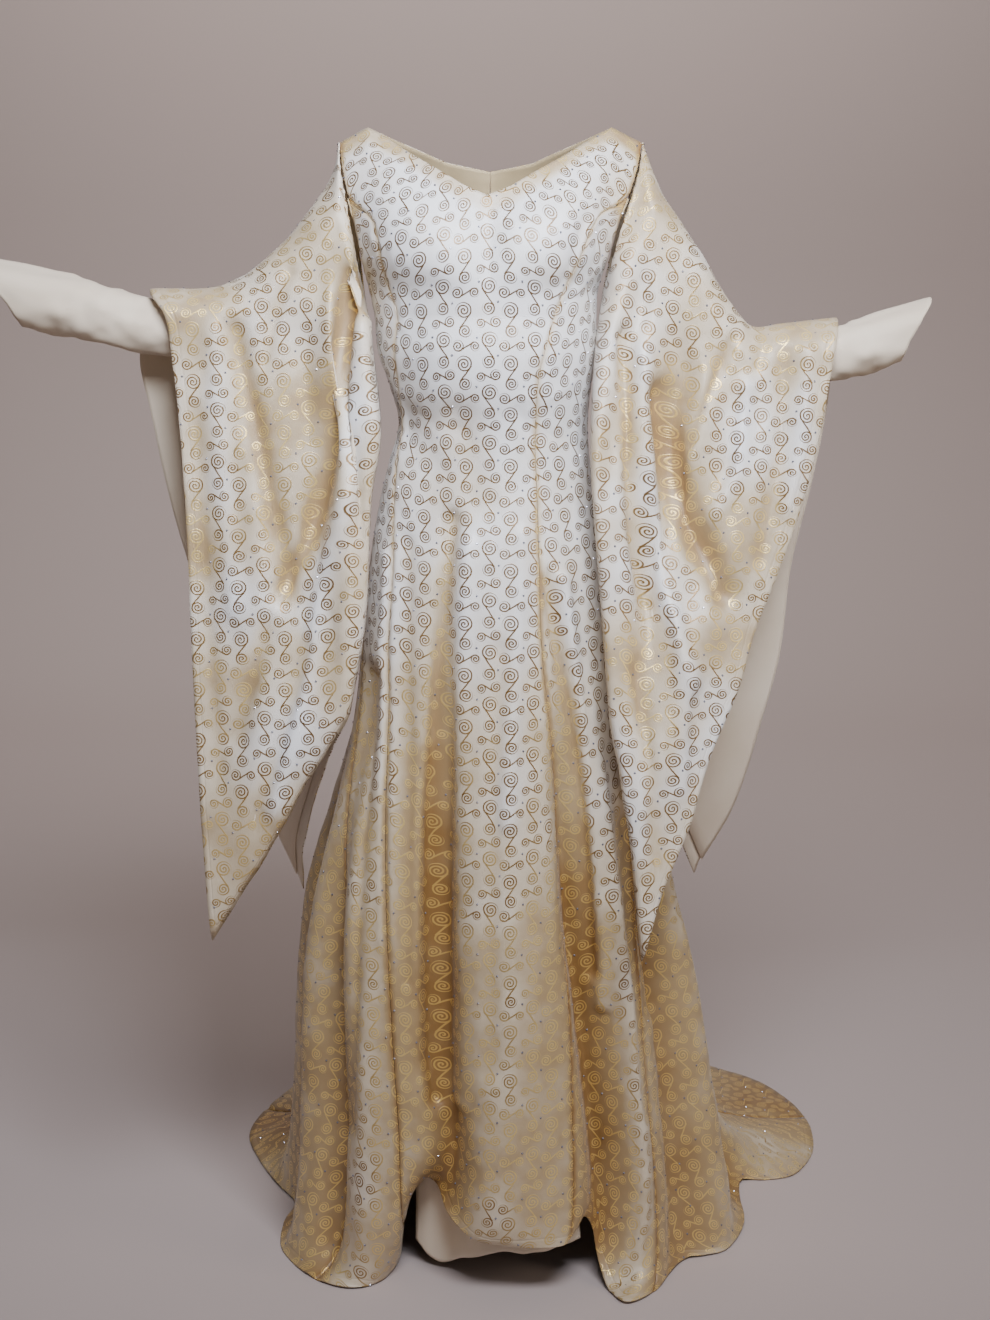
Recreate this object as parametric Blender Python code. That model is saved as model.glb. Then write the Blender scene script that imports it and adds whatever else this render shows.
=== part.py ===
# Medieval gown with a train, wide pointed sleeves and fitted undersleeves, worn with arms out.
# Metres, +Z up. The front faces -Y and +X is the viewer's right, so "left" is the viewer's left.
# The origin lies midway between the shoulder seams, where the wearer carries the gown.

import math

import bmesh
import bpy
from mathutils import Vector

# Driving sizes
FLOOR = -1.400
LAYING_HEIGHT = 0.0022
BODY_WALL = 0.0020
SLEEVE_WALL = 0.0016
LINING_WALL = 0.0012
UNDERSLEEVE_WALL = 0.0014
SEAM_GAP = 0.0005
LINING_GAP = 0.0010

# Distance below the shoulders along the cloth, where each stretch of the body ends
YOKE_END = 0.22
SKIRT_END = 1.20
HEM_END = 1.40
ROWS_YOKE = 6
ROWS_SKIRT = 18
ROWS_HEM = 5
YOKE_BULGE = 0.006
SHOULDER_BULGE = 0.022
HEM_KNEE = 0.012
HEM_SEAM_GAP = 0.0012
FLARE_STEP = 0.10
PROBE = 0.002
PROBE_ANGLE = 1.5

# Neck edge and shoulder seam, from the centre (share 0) past the neck point (0.75) to the shoulder point (1)
# columns: share, left half width, right half width, y, z
NECK_EDGE = {
    "front": [
        (0.000, 0.003, -0.003, -0.0900, -0.084),
        (0.125, 0.029, 0.025, -0.0850, -0.073),
        (0.250, 0.058, 0.055, -0.0680, -0.055),
        (0.375, 0.087, 0.086, -0.0450, -0.037),
        (0.500, 0.113, 0.113, -0.0220, -0.020),
        (0.625, 0.131, 0.131, -0.0070, -0.009),
        (0.750, 0.142, 0.142, -0.0004, -0.003),
        (1.000, 0.176, 0.178, -0.0004, -0.020),
    ],
    "back": [
        (0.000, 0.000, 0.000, 0.0850, -0.048),
        (0.250, 0.052, 0.052, 0.0750, -0.038),
        (0.500, 0.102, 0.102, 0.0430, -0.018),
        (0.750, 0.142, 0.142, 0.0004, -0.003),
        (1.000, 0.176, 0.178, 0.0004, -0.020),
    ],
}
NECK_POINT = 0.75

# Armhole, from the shoulder point down to the armpit, then the side seam to the yoke's end
# columns: share of the yoke, left half width, right half width, y in front, y behind, z
ARMHOLE = [
    (0.0000, 0.176, 0.178, -0.0004, 0.0004, -0.020),
    (0.1667, 0.171, 0.171, -0.0260, 0.0260, -0.052),
    (0.3333, 0.164, 0.160, -0.0410, 0.0420, -0.086),
    (0.5000, 0.156, 0.147, -0.0450, 0.0460, -0.122),
    (0.6667, 0.149, 0.136, -0.0340, 0.0350, -0.160),
    (0.8333, 0.143, 0.128, 0.0000, 0.0000, -0.190),
    (1.0000, 0.136, 0.126, 0.0000, 0.0000, -0.220),
]
ARMPIT_SHARE = 0.8333

# Rings of the bodice and skirt
# columns: depth below the shoulders, left, right, front, back, centre y
RINGS = [
    (0.22, 0.136, 0.126, 0.112, 0.098, 0.000),
    (0.26, 0.133, 0.126, 0.118, 0.096, 0.000),
    (0.30, 0.120, 0.121, 0.112, 0.092, 0.000),
    (0.345, 0.110, 0.117, 0.098, 0.086, 0.000),
    (0.39, 0.121, 0.120, 0.096, 0.092, 0.000),
    (0.44, 0.133, 0.129, 0.102, 0.108, 0.000),
    (0.51, 0.145, 0.143, 0.114, 0.124, 0.000),
    (0.60, 0.156, 0.156, 0.126, 0.138, 0.004),
    (0.68, 0.164, 0.170, 0.138, 0.150, 0.010),
    (0.80, 0.190, 0.192, 0.160, 0.172, 0.022),
    (0.94, 0.220, 0.220, 0.190, 0.208, 0.042),
    (1.07, 0.236, 0.250, 0.215, 0.250, 0.064),
    (1.20, 0.244, 0.276, 0.238, 0.300, 0.084),
]

# Seams as degrees round from centre front, down the cloth
# columns: depth, princess left, princess right, side left, side right, back left, back right
SEAMS = [
    (0.00, 90.0, 90.0, 90.0, 90.0, 90.0, 90.0),
    (0.0367, 90.0, 90.0, 90.0, 90.0, 90.0, 90.0),
    (0.0733, 88.0, 88.0, 90.0, 90.0, 92.0, 92.0),
    (0.11, 67.0, 62.0, 90.0, 90.0, 112.0, 112.0),
    (0.1467, 62.0, 52.0, 90.0, 90.0, 117.0, 117.0),
    (0.1833, 57.0, 43.0, 90.0, 90.0, 122.0, 122.0),
    (0.22, 52.0, 36.0, 90.0, 90.0, 126.0, 126.0),
    (0.28, 60.0, 28.0, 90.0, 90.0, 127.0, 127.0),
    (0.345, 72.0, 27.0, 91.0, 90.0, 128.0, 128.0),
    (0.42, 62.0, 26.0, 89.0, 89.0, 129.0, 129.0),
    (0.50, 53.0, 24.0, 86.0, 86.0, 130.0, 130.0),
    (0.60, 50.0, 23.0, 80.0, 80.0, 130.0, 130.0),
    (0.78, 41.0, 27.0, 66.0, 64.0, 130.0, 130.0),
    (0.96, 33.0, 25.5, 54.0, 52.0, 130.0, 130.0),
    (1.20, 26.5, 21.5, 49.0, 45.0, 130.0, 130.0),
    (1.40, 24.0, 20.0, 50.0, 50.0, 130.0, 130.0),
]

# Skirt folds, ridges with a plus depth and valleys with a minus depth, left of centre as minus degrees
# columns: starts at, around there, around at the skirt's end, depth, width in degrees
FOLDS = [
    (0.50, -20.0, -12.5, -0.038, 6.2),
    (0.56, 29.0, 32.0, -0.044, 6.0),
    (0.46, -60.0, -37.0, 0.016, 8.0),
    (0.40, 6.0, 3.0, 0.012, 9.0),
    (0.58, 46.0, 39.5, 0.020, 4.2),
    (0.80, -60.0, -52.0, -0.020, 4.5),
    (0.72, 70.0, 58.0, -0.022, 6.0),
    (0.66, 88.0, 73.0, 0.022, 8.0),
    (0.66, 104.0, 96.0, -0.034, 8.0),
    (0.62, 118.0, 114.0, 0.028, 9.0),
    (0.60, 134.0, 136.0, -0.030, 8.0),
    (0.56, 150.0, 154.0, 0.026, 8.0),
    (0.52, 166.0, 170.0, -0.026, 7.0),
    (0.70, -74.0, -66.0, 0.016, 7.0),
    (0.66, -92.0, -84.0, -0.028, 7.0),
    (0.62, -108.0, -104.0, 0.028, 8.0),
    (0.58, -124.0, -124.0, -0.030, 8.0),
    (0.56, -141.0, -144.0, 0.028, 8.0),
    (0.54, -160.0, -163.0, -0.026, 8.0),
    (0.50, 178.0, 182.0, 0.020, 7.0),
]

# Outline of the hem, with its notches, its rounded lobes on the floor and the train
# columns: around, x, y, height above the laid cloth
HEM = [
    (-180.0, 0.000, 0.640, 0.0),
    (-168.0, -0.095, 0.665, 0.0),
    (-156.0, -0.190, 0.625, 0.0),
    (-144.0, -0.285, 0.555, 0.0),
    (-132.0, -0.330, 0.450, 0.0),
    (-120.0, -0.352, 0.345, 0.0),
    (-110.0, -0.326, 0.250, 0.0),
    (-101.0, -0.290, 0.170, 0.0),
    (-93.0, -0.262, 0.118, 0.0),
    (-82.0, -0.272, 0.055, 0.0),
    (-70.0, -0.270, -0.005, 0.0),
    (-58.0, -0.245, -0.060, 0.0),
    (-48.0, -0.208, -0.103, 0.0),
    (-40.0, -0.170, -0.118, 0.0),
    (-33.0, -0.135, -0.095, 0.0),
    (-27.0, -0.113, -0.040, 0.010),
    (-23.0, -0.107, -0.040, 0.080),
    (-18.0, -0.095, -0.070, 0.124),
    (-13.0, -0.066, -0.090, 0.126),
    (-8.0, -0.052, -0.122, 0.100),
    (-3.0, -0.025, -0.145, 0.080),
    (4.0, 0.015, -0.150, 0.074),
    (12.0, 0.058, -0.151, 0.072),
    (19.0, 0.092, -0.146, 0.072),
    (23.0, 0.104, -0.128, 0.084),
    (28.0, 0.116, -0.104, 0.088),
    (32.5, 0.126, -0.090, 0.062),
    (36.0, 0.134, -0.098, 0.026),
    (40.0, 0.146, -0.126, 0.0),
    (45.0, 0.166, -0.157, 0.0),
    (50.0, 0.200, -0.128, 0.0),
    (55.0, 0.222, -0.084, 0.0),
    (61.0, 0.244, -0.042, 0.0),
    (67.0, 0.270, -0.034, 0.0),
    (74.0, 0.303, -0.016, 0.0),
    (82.0, 0.332, 0.050, 0.0),
    (91.0, 0.337, 0.125, 0.0),
    (99.0, 0.346, 0.186, 0.0),
    (106.0, 0.380, 0.190, 0.0),
    (114.0, 0.426, 0.210, 0.0),
    (122.0, 0.464, 0.300, 0.0),
    (132.0, 0.462, 0.430, 0.0),
    (142.0, 0.405, 0.550, 0.0),
    (154.0, 0.290, 0.640, 0.0),
    (167.0, 0.140, 0.668, 0.0),
    (180.0, 0.000, 0.640, 0.0),
]

PANEL_COLUMNS = 8
# The side panels start where the princess seams leave the armhole
SIDE_FIRST_ROW = 2

# Sleeves. Each path runs outward or downward through real places (x, y, z)
# top follows the arm, seam the underarm, and the front and back layers part below it in two points
SLEEVE = {
    "left": {
        "top": [(-0.1767, 0.0, -0.0200), (-0.182, 0.0, -0.052), (-0.202, 0.0, -0.085),
                (-0.235, 0.0, -0.125), (-0.269, 0.0, -0.157), (-0.293, 0.0, -0.174),
                (-0.330, 0.0, -0.186), (-0.401, 0.0, -0.188)],
        "seam": [(-0.1485, -0.002, -0.192), (-0.136, -0.034, -0.266), (-0.126, -0.072, -0.354),
                 (-0.137, -0.082, -0.428), (-0.145, -0.092, -0.570), (-0.164, -0.106, -0.680)],
        "front_hem": [(-0.164, -0.106, -0.680), (-0.201, -0.104, -0.738),
                      (-0.263, -0.097, -0.847), (-0.335, -0.090, -0.961)],
        "back_hem": [(-0.164, -0.106, -0.680), (-0.190, -0.070, -0.735), (-0.216, -0.010, -0.810),
                     (-0.238, 0.050, -0.890), (-0.242, 0.100, -0.953)],
        "front_edge": [(-0.401, 0.0, -0.188), (-0.378, 0.0, -0.219), (-0.371, 0.0, -0.270),
                       (-0.365, 0.0, -0.325), (-0.358, 0.0, -0.455), (-0.352, 0.0, -0.645),
                       (-0.344, 0.0, -0.814), (-0.335, 0.0, -0.961)],
        "back_edge": [(-0.401, 0.0, -0.188), (-0.424, 0.0, -0.265), (-0.414, 0.0, -0.330),
                      (-0.393, 0.0, -0.444), (-0.368, 0.0, -0.540), (-0.330, 0.0, -0.700),
                      (-0.285, 0.0, -0.850), (-0.242, 0.0, -0.953)],
    },
    "right": {
        "top": [(0.1787, 0.0, -0.0200), (0.190, 0.0, -0.052), (0.204, 0.0, -0.082),
                (0.228, 0.0, -0.116), (0.251, 0.0, -0.150), (0.272, 0.0, -0.187),
                (0.294, 0.0, -0.216), (0.313, 0.0, -0.232), (0.345, 0.0, -0.228),
                (0.410, 0.0, -0.221)],
        "seam": [(0.1335, -0.002, -0.192), (0.122, -0.052, -0.262), (0.117, -0.076, -0.340),
                 (0.117, -0.092, -0.400), (0.128, -0.106, -0.544), (0.139, -0.128, -0.684)],
        "front_hem": [(0.139, -0.128, -0.684), (0.152, -0.145, -0.754), (0.163, -0.160, -0.833),
                      (0.176, -0.180, -0.957)],
        "back_hem": [(0.139, -0.128, -0.684), (0.178, -0.110, -0.740), (0.214, -0.058, -0.800),
                     (0.236, 0.000, -0.860), (0.258, 0.050, -0.917)],
        "front_edge": [(0.410, 0.0, -0.221), (0.401, 0.0, -0.270), (0.384, 0.0, -0.370),
                       (0.366, 0.0, -0.439), (0.345, 0.0, -0.501), (0.311, 0.0, -0.586),
                       (0.292, 0.0, -0.649), (0.260, 0.0, -0.721), (0.233, 0.0, -0.803),
                       (0.200, 0.0, -0.880), (0.176, 0.0, -0.957)],
        "back_edge": [(0.410, 0.0, -0.221), (0.412, 0.0, -0.306), (0.394, 0.0, -0.421),
                      (0.372, 0.0, -0.522), (0.361, 0.0, -0.636), (0.343, 0.0, -0.713),
                      (0.307, 0.0, -0.834), (0.258, 0.0, -0.917)],
    },
}

# Sleeve folds on both layers: where each starts and ends, along the arm and down the sleeve
# columns: along top, down top, along end, down end, depth, width along the arm
SLEEVE_FOLDS = {
    "left": [(0.18, 0.15, 0.34, 0.95, -0.012, 0.06), (0.45, 0.10, 0.62, 0.85, -0.010, 0.07),
             (0.28, 0.20, 0.50, 0.95, 0.010, 0.07), (0.72, 0.25, 0.84, 0.95, 0.008, 0.07)],
    "right": [(0.16, 0.15, 0.30, 0.90, -0.010, 0.05), (0.36, 0.15, 0.60, 0.80, -0.018, 0.09),
              (0.58, 0.05, 0.52, 0.45, 0.010, 0.06), (0.80, 0.15, 0.80, 0.95, 0.010, 0.08)],
}
SEAM_SHARE = 0.5625
LOOSE_BLEND = 0.15
# The folds begin below the arm: distance below the top line, and the distance they take to form
FOLD_START = 0.085
FOLD_BLEND = 0.06
SLEEVE_ALONG = 16
SLEEVE_ROWS = (0.0, 0.012, 0.04, 0.09, 0.16, 0.26, 0.40, 0.55, 0.70, 0.85, 1.0)
ROW_BLEND = 0.30
ARM_ROOM = (0.051, 0.046)
ARMHOLE_REACH = 0.16
# The lining of the wide sleeve starts at this column and covers these shares of the last cells
LINING_FIRST_COLUMN = 5
LINING_AT_SEAM = 0.35
LINING_AT_HEM = 0.97
LINING_NARROWING = 0.0034

# Undersleeves. Inside the sleeve they hang under its top line, then go on to the cuff
# columns: share of the sleeve's top line, radius, room above
ARM_IN_SLEEVE = {
    "left": [(0.36, 0.0400, 0.0042), (0.48, 0.0395, 0.0075), (0.60, 0.0385, 0.0100),
             (0.72, 0.0370, 0.0110), (0.84, 0.0355, 0.0110), (0.96, 0.0350, 0.0100)],
    "right": [(0.36, 0.0390, 0.0042), (0.46, 0.0385, 0.0080), (0.56, 0.0375, 0.0110), (0.65, 0.0360, 0.0125),
              (0.72, 0.0355, 0.0130), (0.80, 0.0350, 0.0120), (0.92, 0.0345, 0.0100)],
}
# columns: x, z, radius
FOREARM = {
    "left": [(-0.450, -0.2200, 0.0370), (-0.500, -0.2070, 0.0385), (-0.545, -0.1980, 0.0385)],
    "right": [(0.428, -0.2600, 0.0345), (0.452, -0.2520, 0.0340), (0.478, -0.2440, 0.0335)],
}
CUFF_POINT = {"left": 0.075, "right": 0.055}
CUFF_START = {"left": -0.500, "right": 0.450}
CUFF_SHARPNESS = 1.3
UNDERSLEEVE_AROUND = 12
UNDERSLEEVE_ALONG = 16

# Edge of the skirt lining, seen below the front hem
# columns: line of cloth, x, y, height above the laid cloth
LINING_HEM = [
    (-0.75, -0.094, -0.050, 0.030),
    (-0.625, -0.078, -0.062, 0.014),
    (-0.40, -0.052, -0.074, 0.012),
    (-0.20, -0.028, -0.112, 0.036),
    (0.20, 0.010, -0.122, 0.048),
    (0.625, 0.066, -0.118, 0.048),
    (1.00, 0.112, -0.088, 0.050),
]
LINING_TOP_ROW = 21
LINING_ROWS = 6
LINING_TUCK = 0.010

CREAM = (0.79, 0.72, 0.60)
IVORY = (0.78, 0.74, 0.66)


def remove_old_objects():
    for old in list(bpy.data.objects):
        bpy.data.objects.remove(old, do_unlink=True)


def make_material(name, colour, roughness):
    material = bpy.data.materials.new(name)
    material.use_nodes = True
    shader = material.node_tree.nodes["Principled BSDF"]
    shader.inputs["Base Color"].default_value = (*colour, 1.0)
    shader.inputs["Roughness"].default_value = roughness
    shader.inputs["Metallic"].default_value = 0.0
    return material


def mix(start, end, share):
    return start + (end - start) * share


def soften(share):
    share = min(max(share, 0.0), 1.0)
    return share * share * (3.0 - 2.0 * share)


def between_rows(rows, at):
    """Straight values at a place in a table whose first column rises."""
    at = min(max(at, rows[0][0]), rows[-1][0])
    k = max(i for i in range(len(rows) - 1) if rows[i][0] <= at)
    share = (at - rows[k][0]) / (rows[k + 1][0] - rows[k][0])
    return [mix(a, b, share) for a, b in zip(rows[k][1:], rows[k + 1][1:])]


def smooth_rows(rows, at):
    """Values at a place in a table, on a smooth curve through its rows."""
    last = len(rows) - 1
    at = min(max(at, rows[0][0]), rows[last][0])
    k = max(i for i in range(last) if rows[i][0] <= at)
    start = rows[k]
    end = rows[k + 1]
    before = rows[max(k - 1, 0)]
    after = rows[min(k + 2, last)]
    span = end[0] - start[0]
    f = (at - start[0]) / span
    values = []
    for c in range(1, len(start)):
        slope_start = (end[c] - before[c]) / (end[0] - before[0])
        slope_end = (after[c] - start[c]) / (after[0] - start[0])
        rise = (1 + 2 * f) * (1 - f) ** 2 * start[c] + f * f * (3 - 2 * f) * end[c]
        turn = f * (1 - f) ** 2 * span * slope_start - f * f * (1 - f) * span * slope_end
        values.append(rise + turn)
    return values


def along_path(places, share):
    """A place on a smooth path, at a share of the way between its first and last places."""
    rows = [(0.0, *places[0])]
    for a, b in zip(places, places[1:]):
        rows.append((rows[-1][0] + (Vector(b) - Vector(a)).length, *b))
    return Vector(smooth_rows(rows, share * rows[-1][0]))


def wrap_degrees(around):
    return (around + 180.0) % 360.0 - 180.0


def facing(around, left, right):
    return -left if around < 0 else right


def neck_edge(half, around, share):
    left, right, y, z = between_rows(NECK_EDGE[half], share)
    return Vector((facing(around, left, right), y, z))


def armhole_edge(half, around, share):
    left, right, front_y, back_y, z = smooth_rows(ARMHOLE, share)
    return Vector((facing(around, left, right), front_y if half == "front" else back_y, z))


def fold_depth(around, down):
    """How far the skirt's folds push the cloth out or in."""
    push = 0.0
    for start, first, last, depth, width in FOLDS:
        if down <= start:
            continue
        share = (down - start) / (SKIRT_END - start)
        away = wrap_degrees(around - mix(first, last, share))
        push += depth * soften(share * 1.5) * math.exp(-(away / width) ** 2)
    return push


def ring(around, down):
    left, right, front, back, middle = smooth_rows(RINGS, down)
    turn = math.radians(around)
    side = math.sin(turn)
    ahead = math.cos(turn)
    push = fold_depth(around, down)
    wide = (right if side > 0 else left) + push
    deep = (front if ahead > 0 else back) + push
    return Vector((wide * side, middle - deep * ahead, -down))


def hem_edge(around):
    x, y, rise = smooth_rows(HEM, wrap_degrees(around))
    return Vector((x, y, FLOOR + LAYING_HEIGHT + max(rise, 0.0)))


def side_share(half, around):
    """0 at the centre of the front or back, 1 at the side."""
    away = abs(wrap_degrees(around))
    if half == "back":
        away = 180.0 - away
    return min(away / 90.0, 1.0)


def yoke(half, around, share):
    """The bodice above the bust, between the neck edge, the armholes and its lowest ring."""
    out = side_share(half, around)
    middle = 0.0 if half == "front" else 180.0
    swell = Vector((0.0, -1.0 if half == "front" else 1.0, 0.0)) * math.sin(math.pi * share)
    top = neck_edge(half, around, out)
    bottom = ring(around if out < 1.0 else math.copysign(90.0, around), YOKE_END)
    tip = neck_edge(half, around, 1.0)
    armpit = ring(math.copysign(90.0, around), YOKE_END)
    place = top.lerp(bottom, share)
    place += swell * (YOKE_BULGE * (1.0 - out) + SHOULDER_BULGE * math.sin(math.pi * out))
    place += (armhole_edge(half, around, share) - tip.lerp(armpit, share)) * out
    return place


def body(half, around, down):
    """A place on the outside of the gown's body, by its angle and its depth below the shoulders."""
    if down < YOKE_END:
        return yoke(half, around, down / YOKE_END)
    if down <= SKIRT_END:
        return ring(around, down)
    share = (down - SKIRT_END) / (HEM_END - SKIRT_END)
    start = ring(around, SKIRT_END)
    flare = (start - ring(around, SKIRT_END - FLARE_STEP)) / FLARE_STEP
    end = hem_edge(around)
    knee = start + flare * (start.z - end.z - HEM_KNEE)
    return start.lerp(knee, share).lerp(knee.lerp(end, share), share)


def round_way(half, around, down):
    """The way along the cloth to the right, as seen from outside it."""
    at_side = side_share(half, around) > 0.999 and down < YOKE_END
    if at_side and down >= ARMPIT_SHARE * YOKE_END - PROBE:
        return Vector((0.0, math.copysign(1.0, around), 0.0))
    ahead = body(half, around + PROBE_ANGLE, down) - body(half, around - PROBE_ANGLE, down)
    return ahead.normalized()


def body_normal(half, around, down):
    if down < PROBE and side_share(half, around) >= NECK_POINT:
        return Vector((0.0, 0.0, 1.0))
    above = max(down - PROBE, 0.0)
    below = min(down + PROBE, HEM_END)
    down_way = body(half, around, below) - body(half, around, above)
    return down_way.cross(round_way(half, around, down)).normalized()


def seam_angle(line, down):
    """Angle of a seam line: 0 centre front, 1 princess, 2 side, 3 back, 4 centre back, left as minus."""
    number = abs(line)
    if number == 0:
        return 0.0
    if number == 4:
        return math.copysign(180.0, line)
    column = 2 * (number - 1) + (1 if line > 0 else 0)
    return math.copysign(smooth_rows(SEAMS, down)[column], line)


def cloth_angle(line, down):
    """Angle of a line of cloth, which may lie between two seams."""
    low = math.floor(line)
    share = line - low
    if share == 0.0:
        return seam_angle(low, down)
    return mix(seam_angle(low, down), seam_angle(low + 1, down), share)


def body_rows():
    rows = [YOKE_END * i / ROWS_YOKE for i in range(ROWS_YOKE)]
    rows += [mix(YOKE_END, SKIRT_END, i / ROWS_SKIRT) for i in range(ROWS_SKIRT)]
    rows += [mix(SKIRT_END, HEM_END, i / ROWS_HEM) for i in range(ROWS_HEM + 1)]
    return rows


def shell(name, outer, inner, collection, material, closed=()):
    """A closed wall between two grids of places. In the closed columns the last row meets the first."""
    columns = len(outer)
    rows = len(outer[0])
    form = bmesh.new()
    column_of = form.verts.layers.int.new("column")
    row_of = form.verts.layers.int.new("row")
    bmesh.ops.create_grid(form, x_segments=columns - 1, y_segments=rows - 1, size=1.0)
    places = {}
    for v in form.verts:
        v[column_of] = round((v.co.x + 1) / 2 * (columns - 1))
        v[row_of] = round((v.co.y + 1) / 2 * (rows - 1))
        places[v[column_of], v[row_of]] = v
    bmesh.ops.weld_verts(form, targetmap={places[i, rows - 1]: places[i, 0] for i in closed})
    first = set(form.verts)
    bmesh.ops.extrude_face_region(form, geom=form.faces[:], use_keep_orig=True)
    for v in form.verts:
        grid = outer if v in first else inner
        v.co = grid[v[column_of]][v[row_of]]
    bmesh.ops.recalc_face_normals(form, faces=form.faces[:])
    if form.calc_volume(signed=True) < 0:
        bmesh.ops.reverse_faces(form, faces=form.faces[:])
    mesh = bpy.data.meshes.new(name)
    form.to_mesh(mesh)
    form.free()
    mesh.shade_smooth()
    mesh.materials.append(material)
    piece = bpy.data.objects.new(name, mesh)
    collection.objects.link(piece)
    return piece


def wall(place, normal, thickness):
    return place - normal * thickness


def body_panel(name, half, lines, rows, collection, material):
    """One cut panel of the gown, from its first line of cloth to its last."""
    outer = []
    inner = []
    for line in lines:
        edge = (1 if line == lines[0] else 0) - (1 if line == lines[-1] else 0)
        outer_column = []
        inner_column = []
        for down in rows:
            around = cloth_angle(line, down)
            hem_share = soften((down - SKIRT_END) / (HEM_END - SKIRT_END))
            trim = edge * mix(SEAM_GAP, HEM_SEAM_GAP, hem_share) / 2
            place = body(half, around, down) + round_way(half, around, down) * trim
            outer_column.append(place)
            inner_column.append(wall(place, body_normal(half, around, down), BODY_WALL))
        outer.append(outer_column)
        inner.append(inner_column)
    return shell(name, outer, inner, collection, material)


def armhole(side, layer, share):
    """A place on the armhole, from the shoulder point to the armpit, front (-1) or back (+1)."""
    half = "front" if layer < 0 else "back"
    return armhole_edge(half, 1.0 if side == "right" else -1.0, share * ARMPIT_SHARE)


def closing(down):
    """How far apart the sleeve's layers stay on their way to the underarm seam."""
    return math.sqrt(max(1.0 - down ** 4, 0.0))


def sleeve(side, layer, along, down):
    """A place on the wide sleeve. layer is -1 in front of the arm and +1 behind it."""
    form = SLEEVE[side]
    front = layer < 0
    top = along_path(form["top"], along)
    if along <= SEAM_SHARE:
        low = along_path(form["seam"], along / SEAM_SHARE)
    else:
        loose = form["front_hem"] if front else form["back_hem"]
        low = along_path(loose, (along - SEAM_SHARE) / (1.0 - SEAM_SHARE))
    start_top = Vector(form["top"][0])
    start_low = Vector(form["seam"][0])
    outer_path = form["front_edge"] if front else form["back_edge"]
    edge_low = Vector(outer_path[-1])
    rim = armhole(side, layer, down)
    rim = rim + (start_top - armhole(side, layer, 0.0)).lerp(start_low - armhole(side, layer, 1.0), down)
    place = top.lerp(low, down)
    place += (rim - start_top.lerp(start_low, down)) * (1.0 - along)
    edge = along_path(outer_path, down)
    place += (edge - Vector(outer_path[0]).lerp(edge_low, down)) * along
    hang = (top - place).length
    room = mix(ARM_ROOM[0], ARM_ROOM[1], along)
    over = math.sqrt(max(1.0 - (1.0 - min(hang / room, 1.0)) ** 2, 0.0))
    y = layer * room * over * closing(down) + low.y * down * down
    reach = max(1.0 - along / ARMHOLE_REACH, 0.0) ** 2
    place.y = mix(y, rim.y, reach)
    return place


def sleeve_fold(side, along, down):
    push = 0.0
    for along_top, down_top, along_end, down_end, depth, width in SLEEVE_FOLDS[side]:
        share = (down - down_top) / (down_end - down_top)
        middle = mix(along_top, along_end, min(max(share, 0.0), 1.0))
        fade = soften((share + 0.15) / 0.5) * soften((1.15 - share) / 0.3)
        push += depth * fade * math.exp(-((along - middle) / width) ** 2)
    sewn = 1.0 - soften((along - SEAM_SHARE) / LOOSE_BLEND)
    return push * mix(1.0, closing(down), sewn)


def sleeve_place(side, layer, along, down):
    place = sleeve(side, layer, along, down)
    hang = (along_path(SLEEVE[side]["top"], along) - place).length
    place.y += layer * sleeve_fold(side, along, down) * soften((hang - FOLD_START) / FOLD_BLEND)
    return place


def sleeve_normal(side, layer, along, down):
    """The way out of the sleeve, level with the seam where its layers are sewn together."""
    step = 0.004
    before = sleeve_place(side, layer, max(along - step, 0.0), down)
    after = sleeve_place(side, layer, min(along + step, 1.0), down)
    along_way = after - before
    if down < step:
        down_way = sleeve_place(side, 1, along, step) - sleeve_place(side, -1, along, step)
    elif down > 1.0 - step and along <= SEAM_SHARE:
        down_way = sleeve_place(side, -1, along, 1 - step) - sleeve_place(side, 1, along, 1 - step)
    else:
        above = sleeve_place(side, layer, along, down - step)
        below = sleeve_place(side, layer, along, min(down + step, 1.0))
        down_way = (below - above) * layer
    normal = along_way.cross(down_way)
    if along < step:
        normal.x = 0.0
    normal.normalize()
    return normal if side == "right" else -normal


def sleeve_grid(side, inset):
    """Places up the back layer, over the arm and down the front layer."""
    last = len(SLEEVE_ROWS) - 1
    across = [(1, k) for k in range(last, 0, -1)]
    across += [(-1, k) for k in range(last + 1)]
    grid = []
    for i in range(SLEEVE_ALONG + 1):
        along = i / SLEEVE_ALONG
        column = []
        for layer, k in across:
            down = mix(k / last, SLEEVE_ROWS[k], soften(along / ROW_BLEND))
            place = sleeve_place(side, layer, along, down)
            column.append(wall(place, sleeve_normal(side, layer, along, down), inset))
        grid.append(column)
    return grid


def sewn_columns():
    return tuple(i for i in range(SLEEVE_ALONG + 1) if i / SLEEVE_ALONG <= SEAM_SHARE)


def lines_between(first, last):
    """Lines of cloth across a panel, eight steps from one seam line to the next."""
    steps = (last - first) * PANEL_COLUMNS
    return [first + i / PANEL_COLUMNS for i in range(steps + 1)]


def add_body(collection, brocade):
    rows = body_rows()
    side_rows = rows[SIDE_FIRST_ROW:]
    body_panel("front_centre", "front", lines_between(-1, 1), rows, collection, brocade)
    body_panel("front_side_left", "front", lines_between(-2, -1), side_rows, collection, brocade)
    body_panel("front_side_right", "front", lines_between(1, 2), side_rows, collection, brocade)
    body_panel("back_side_left", "back", lines_between(-3, -2), side_rows, collection, brocade)
    body_panel("back_side_right", "back", lines_between(2, 3), side_rows, collection, brocade)
    body_panel("back_left", "back", lines_between(-4, -3), rows, collection, brocade)
    body_panel("back_right", "back", lines_between(3, 4), rows, collection, brocade)


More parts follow.
